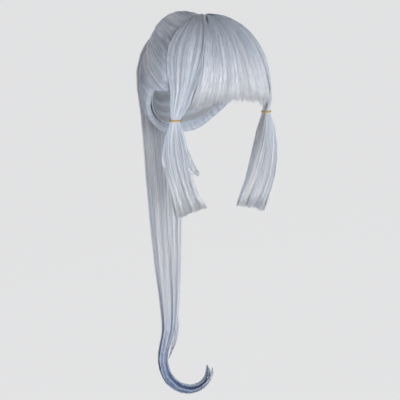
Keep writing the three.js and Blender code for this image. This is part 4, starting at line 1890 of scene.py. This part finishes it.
def face_outward(merge_gap: float = 0.0) -> None:
    """Turn the faces of the active object outward, after its doubles are merged.

    Args:
        merge_gap: Distance in millimetres below which points are doubles, or 0 to merge none.
    """
    bpy.ops.object.mode_set(mode="EDIT")
    bpy.ops.mesh.select_all(action="SELECT")
    if merge_gap:
        bpy.ops.mesh.remove_doubles(threshold=merge_gap * MILLIMETRE)
    bpy.ops.mesh.normals_make_consistent(inside=False)
    bpy.ops.object.mode_set(mode="OBJECT")


@dataclass(frozen=True, kw_only=True)
class ElasticFinish:
    """Thread wound round an elastic, in two close colours."""

    name: str
    dark: Colour
    pale: Colour
    metallic: float
    roughness: Range
    turns: float
    slant: float = 3.0
    speckle_scale: Range = (260.0, 9.0)
    speckle: float = 0.8
    tone_range: Range = (0.25, 0.95)
    bump_strength: float = 0.6
    bump_depth: float = 0.25

    def material(self) -> bpy.types.Material:
        """Make the material with slanting threads on the piece's own map.

        Returns:
            The finished material.
        """
        sketch = NodeSketch(self.name)
        slant = sketch.sum_of(Sum.ADD, *sketch.parts(GRID_MAP, (self.turns, self.slant)))
        thread = sketch.folded(slant)
        speckle = sketch.noise(sketch.spots(GRID_MAP, self.speckle_scale), sketch.FINE_DETAIL)
        tone = sketch.added(thread, speckle, self.speckle)
        return sketch.surface(
            Base_Color=sketch.ramp(sketch.span(tone, self.tone_range), (self.dark, self.pale)),
            Metallic=self.metallic,
            Roughness=sketch.span(tone, self.tone_range, self.roughness),
            Normal=sketch.bump(thread, self.bump_strength, self.bump_depth),
        )


GOLD_THREAD = ElasticFinish(
    name="gold_thread",
    dark=(0.27, 0.14, 0.015),
    pale=(0.68, 0.43, 0.07),
    metallic=0.35,
    roughness=(0.5, 0.36),
    turns=44.0,
)
SILVER_THREAD = ElasticFinish(
    name="silver_thread",
    dark=(0.34, 0.39, 0.47),
    pale=(0.62, 0.67, 0.75),
    metallic=0.0,
    roughness=(0.62, 0.48),
    turns=60.0,
)


@dataclass(frozen=True, kw_only=True)
class Elastic(Piece):
    """Wound elastic of one or more turns round a bundle of hair."""

    finish: ElasticFinish
    thickness: float
    turns: int = 1
    pitch: float = 0.0
    threads: int = 36
    thread_slant: int = 3
    relief: float = 0.1
    segments: int = 144
    sides: int = 14
    start_tube: float = 0.25

    def ring(self, turn: Array) -> Placed:
        """Points of the elastic's middle line and ways out of it, at angles round it."""
        raise NotImplementedError

    def along(self) -> Array:
        """Way along the bundle that the elastic holds."""
        raise NotImplementedError

    def build(self) -> bpy.types.Object:
        """Model the turns from rings and join them.

        Returns:
            The object of the piece.
        """
        made = [self.wind(number) for number in range(self.turns)]
        deselect_all()
        for turn in made:
            turn.select_set(True)
        bpy.context.view_layer.objects.active = made[0]
        if len(made) > 1:
            bpy.ops.object.join()
        bpy.ops.object.shade_smooth()
        return made[0]

    def material(self) -> bpy.types.Material:
        """Make the thread's finish."""
        return self.finish.material()

    def wind(self, number: int) -> bpy.types.Object:
        """One turn of the elastic, its threads raised in a slant.

        Args:
            number: Number of the turn along the bundle.

        Returns:
            The turn as an object of its own.
        """
        deselect_all()
        bpy.ops.mesh.primitive_torus_add(
            major_segments=self.segments,
            minor_segments=self.sides,
            major_radius=1.0,
            minor_radius=self.start_tube,
            generate_uvs=True,
        )
        turn_object = bpy.context.object
        spots = mesh_points(turn_object)
        turn = np.arctan2(spots[:, 1], spots[:, 0])
        round_turn = np.arctan2(spots[:, 2], np.hypot(spots[:, 0], spots[:, 1]) - 1)
        middle, away = self.ring(turn)
        thread = 1 + self.relief * np.cos(self.threads * turn + self.thread_slant * round_turn)
        radius = (self.thickness / 2 * thread)[:, None]
        shift = (number - (self.turns - 1) / 2) * self.pitch
        offset = away * np.cos(round_turn)[:, None] + self.along() * np.sin(round_turn)[:, None]
        set_mesh_points(turn_object, middle + self.along() * shift + offset * radius)
        face_outward()
        return turn_object


@dataclass(frozen=True, kw_only=True)
class LockTie(Elastic):
    """Gold elastic on a side lock."""

    side: Side
    row: tuple[float, ...]
    slot: str = "gold_elastic"
    finish: ElasticFinish = GOLD_THREAD
    thickness: float = 2.1
    clearance: float = -0.5

    def along(self) -> Array:
        """The lock hangs straight down through its tie."""
        return np.array([0.0, 0.0, 1.0])

    def ring(self, turn: Array) -> Placed:
        """Oval round the lock's tied section.

        Args:
            turn: Angles round the lock.

        Returns:
            Points of the oval and ways out of it.
        """
        out, fore, level, width, depth, azimuth = self.row
        outward, rearward = lock_ways(self.side, azimuth)
        room = self.clearance + self.thickness / 2
        offset = np.cos(turn)[:, None] * rearward * (width + room)
        offset = offset + np.sin(turn)[:, None] * outward * (depth + room)
        return np.array([self.side.value * out, fore, level]) + offset, unit(offset)


@dataclass(frozen=True, kw_only=True)
class TailBand(Elastic):
    """Elastic wound round the root of the ponytail."""

    name: str = "tail_band"
    node: str = "ponytail_tie"
    finish: ElasticFinish = SILVER_THREAD
    thickness: float = 2.6
    turns: int = 3
    pitch: float = 2.4
    start: float = 27.2
    height: float = 7.4
    inner_radius: float = 15.6

    def along(self) -> Array:
        """The band lies round the root's axis."""
        return GATHER.out

    def ring(self, turn: Array) -> Placed:
        """Circle round the root's axis, half way up the band.

        Args:
            turn: Angles round the root.

        Returns:
            Points of the circle and ways out of it.
        """
        level = self.start + self.height / 2
        points = GATHER.around(level, self.inner_radius + self.thickness / 2, turn)
        return points, unit(points - GATHER.around(level, 0.0, 0.0))


@dataclass(frozen=True)
class NetFinish:
    """Elastic net with hair behind it, sewn rows of fibre and a few plain strips down its length."""

    name: str = "cap_net"
    thread: Colour = (0.50, 0.51, 0.53)
    behind: Colour = (0.24, 0.27, 0.31)
    strip: Colour = (0.38, 0.40, 0.43)
    fibre: tuple[Colour, ...] = ((0.28, 0.32, 0.39), (0.42, 0.46, 0.53), (0.52, 0.55, 0.61))
    strips: float = 10.0
    mesh_scale: Range = (150.0, 60.0)
    mesh_thread: Range = (0.18, 0.06)
    fibre_scale: Range = (520.0, 14.0)
    sewn_edge: Range = (0.26, 0.18)
    strip_edge: Range = (0.1, 0.08)
    roughness: Range = (0.68, 0.88)
    specular: float = 0.3
    bump_strength: float = 0.5
    bump_depth: float = 0.4

    def material(self, rows: int) -> bpy.types.Material:
        """Make the material on the cap's own map.

        Args:
            rows: Number of sewn rows from the crown to the hem.

        Returns:
            The finished material.
        """
        sketch = NodeSketch(self.name)
        across, along = sketch.parts(GRID_MAP, self.mesh_scale)
        rising = sketch.folded(sketch.sum_of(Sum.ADD, across, along))
        falling = sketch.folded(sketch.sum_of(Sum.SUBTRACT, across, along))
        net = sketch.span(sketch.sum_of(Sum.LEAST, rising, falling), self.mesh_thread)
        colour = sketch.blend(net, (*self.behind, 1.0), (*self.thread, 1.0))
        fibre = sketch.noise(sketch.spots(GRID_MAP, self.fibre_scale), sketch.FINE_DETAIL)
        column, row = sketch.parts(GRID_MAP, (self.strips, float(rows)))
        sewn = sketch.span(sketch.folded(row), self.sewn_edge)
        fibre_colour = sketch.ramp(sketch.span(fibre, sketch.NOISE_RANGE), self.fibre)
        colour = sketch.blend(sewn, colour, fibre_colour)
        strip = sketch.span(sketch.folded(column), self.strip_edge)
        colour = sketch.blend(strip, colour, (*self.strip, 1.0))
        height = sketch.added(net, fibre, sewn)
        return sketch.surface(
            Base_Color=colour,
            Roughness=sketch.span(height, (0.0, 1.0), self.roughness),
            Specular_IOR_Level=self.specular,
            Normal=sketch.bump(height, self.bump_strength, self.bump_depth),
        )


@dataclass(frozen=True, kw_only=True)
class WigCap(Piece):
    """Fitted net cap with sewn rows on its inside and a thicker hem, open below."""

    name: str = "wig_cap_net"
    node: str = "wig_cap"
    slot: str = "cap_net"
    finish: NetFinish = NetFinish()
    columns: int = 120
    rows: int = 84
    wefts: int = 13
    weft_height: float = 0.8
    weft_edge: Range = (0.14, 0.26)
    weft_starts: Range = (0.02, 0.06)
    hem_edge: Range = (0.94, 0.958)
    hem_height: float = 0.7
    merge_gap: float = 0.01
    hem: Table = Table(
        "azimuth level",
        ((0, -44), (35, -52), (62, -84), (78, -96), (98, -92), (122, -124), (150, -156), (180, -164)),
    )

    def build(self) -> bpy.types.Object:
        """Model the cap from a grid wrapped on its dome, and give it a wall.

        Returns:
            The object of the piece.
        """
        deselect_all()
        bpy.ops.mesh.primitive_grid_add(
            x_subdivisions=self.columns, y_subdivisions=self.rows, size=1.0, calc_uvs=True
        )
        cap = bpy.context.object
        spots = mesh_points(cap)
        azimuth = 360 * spots[:, 0]
        share = spots[:, 1] + 0.5
        way = direction(azimuth, hem_drop(self.hem, azimuth) * share)
        sewn = 1 - smooth_step(np.abs(from_nearest(share * self.wefts)), *self.weft_edge)
        ridge = self.weft_height * sewn * smooth_step(share, *self.weft_starts)
        ridge = np.maximum(ridge, self.hem_height * smooth_step(share, *self.hem_edge))
        points, _ = CAP_INSIDE.raised(way, -ridge)
        set_mesh_points(cap, points)
        face_outward(self.merge_gap)
        wall = cap.modifiers.new("wall", "SOLIDIFY")
        wall.thickness = CAP_WALL * MILLIMETRE
        wall.offset = 1.0
        bpy.ops.object.modifier_apply(modifier=wall.name)
        bpy.ops.object.shade_smooth()
        return cap

    def material(self) -> bpy.types.Material:
        """Make the net's finish with the cap's number of sewn rows."""
        return self.finish.material(self.wefts)


def facing(azimuth: float, elevation: float) -> Vector:
    """Way from the wig to a light or camera, from degrees round from the front and above the level."""
    return Vector(direction(azimuth, 90 - elevation))


@dataclass(frozen=True)
class SoftLight:
    """Soft light on the wig: a square panel in metres, or a sun with its width in radians."""

    name: str
    azimuth: float
    elevation: float
    distance: float
    size: float
    power: float
    kind: Lamp = Lamp.PANEL

    def build(self, target: Vector) -> None:
        """Hang the light round a point.

        Args:
            target: Point that the light looks at, in metres.
        """
        back = facing(self.azimuth, self.elevation)
        data = bpy.data.lights.new(self.name, self.kind.value)
        data.energy = self.power
        if self.kind is Lamp.SUN:
            data.angle = self.size
        else:
            data.size = self.size
        light = bpy.data.objects.new(self.name, data)
        light.location = target + back * self.distance
        light.rotation_euler = (-back).to_track_quat("-Z", "Y").to_euler()
        bpy.context.scene.collection.objects.link(light)


@dataclass(frozen=True)
class Studio:
    """Pale floor, soft lights and the camera at the photograph's angle."""

    azimuth: float = -30.0
    elevation: float = 11.2
    distance: float = 3000.0
    focal_pixels: float = 2000.0
    picture_pixels: float = 400.0
    origin_pixel: tuple[float, float] = (205.5, 24.0)
    sensor: float = 36.0
    clip_end: float = 100.0
    floor_level: float = -616.0
    floor_half: float = 30.0
    floor_colour: Colour = (0.04, 0.04, 0.04)
    floor_roughness: float = 0.9
    floor_glow: Colour = (0.745, 0.747, 0.755)
    sky_colour: Colour = (0.95, 0.97, 1.0)
    sky_strengths: Range = (0.74, 0.1)
    sky_heights: Range = (0.02, 0.5)
    target: tuple[float, float, float] = (0.0, 0.0, -0.15)
    lights: tuple[SoftLight, ...] = (
        SoftLight("key_light", -8.0, 12.0, 2.8, 1.3, 38.0),
        SoftLight("low_light", -20.0, 0.0, 2.2, 0.7, 18.5),
        SoftLight("side_light", -100.0, 28.0, 2.6, 1.6, 14.0),
        SoftLight("fill_light", 85.0, 22.0, 2.6, 1.6, 9.0),
        SoftLight("back_light", 150.0, 10.0, 2.8, 1.2, 1.3, Lamp.SUN),
    )

    def build(self) -> None:
        """Make the floor, the surround, the lights and the camera."""
        bpy.context.scene.view_settings.view_transform = "Standard"
        self.build_floor()
        self.build_surround()
        for light in self.lights:
            light.build(Vector(self.target))
        self.build_camera()

    def build_floor(self) -> None:
        """Make the plain pale floor."""
        deselect_all()
        bpy.ops.mesh.primitive_plane_add(
            size=2 * self.floor_half, location=(0.0, 0.0, self.floor_level * MILLIMETRE)
        )
        floor = bpy.context.object
        floor.name = "floor"
        surface = NodeSketch("pale_floor").surface(
            Base_Color=(*self.floor_colour, 1.0),
            Roughness=self.floor_roughness,
            Specular_IOR_Level=0.0,
            Emission_Color=(*self.floor_glow, 1.0),
            Emission_Strength=1.0,
        )
        floor.data.materials.append(surface)

    def build_surround(self) -> None:
        """Make a surround that is pale at the level of the eye and dim above."""
        world = bpy.data.worlds.new("surround")
        world.use_nodes = True
        tree = world.node_tree
        background = tree.nodes["Background"]
        background.inputs["Color"].default_value = (*self.sky_colour, 1.0)
        way = tree.nodes.new("ShaderNodeTexCoord")
        parts = tree.nodes.new("ShaderNodeSeparateXYZ")
        fade = tree.nodes.new("ShaderNodeMapRange")
        fade.interpolation_type = "SMOOTHSTEP"
        limits = (*self.sky_heights, *self.sky_strengths)
        for name, value in zip(("From Min", "From Max", "To Min", "To Max"), limits):
            fade.inputs[name].default_value = value
        tree.links.new(way.outputs["Object"], parts.inputs["Vector"])
        tree.links.new(parts.outputs["Z"], fade.inputs["Value"])
        tree.links.new(fade.outputs["Result"], background.inputs["Strength"])
        bpy.context.scene.world = world

    def build_camera(self) -> None:
        """Set the camera so that the origin falls on its pixel of the picture."""
        back = facing(self.azimuth, self.elevation)
        turn = np.radians(self.azimuth)
        right = Vector((np.cos(turn), np.sin(turn), 0.0))
        up = back.cross(right)
        half = self.picture_pixels / 2
        aside = (self.origin_pixel[0] - half) / self.focal_pixels
        above = (half - self.origin_pixel[1]) / self.focal_pixels
        data = bpy.data.cameras.new("camera")
        data.sensor_width = self.sensor
        data.lens = self.sensor * self.focal_pixels / self.picture_pixels
        data.clip_end = self.clip_end
        camera = bpy.data.objects.new("camera", data)
        camera.location = (back - aside * right - above * up) * self.distance * MILLIMETRE
        camera.rotation_euler = (-back).to_track_quat("-Z", "Y").to_euler()
        bpy.context.scene.collection.objects.link(camera)
        bpy.context.scene.camera = camera


PIECES = (
    WigCap(),
    SweptBack(),
    Fringe(),
    SideLock(
        name="side_lock_right_hair",
        node="side_lock_right",
        side=Side.RIGHT,
        seed=49,
        rows=RIGHT_ROWS,
        slant=7.0,
        wisps=RIGHT_WISPS,
        combing=SPLIT_COMBING,
    ),
    SideLock(
        name="side_lock_left_hair",
        node="side_lock_left",
        side=Side.LEFT,
        seed=51,
        rows=LEFT_ROWS,
        slant=5.0,
        finish=FAR_LOCK_FIBRE,
        under_fringe_low=5.0,
    ),
    Ponytail(),
    LockTie(name="tie_right_elastic", node="tie_right", side=Side.RIGHT, row=RIGHT_ROWS[TIE_ROW]),
    LockTie(name="tie_left_elastic", node="tie_left", side=Side.LEFT, row=LEFT_ROWS[TIE_ROW]),
    TailBand(),
)


def main() -> None:
    """Build the studio and every piece of the wig in order, and note the sizes."""
    logging.basicConfig(level=logging.INFO, format="%(message)s")
    Studio().build()
    for piece in PIECES:
        made = piece.build()
        piece.dress(made)
        triangles = sum(len(face.vertices) - 2 for face in made.data.polygons)
        LOG.info("%s: %d triangles", made.name, triangles)


if __name__ == "__main__":
    main()
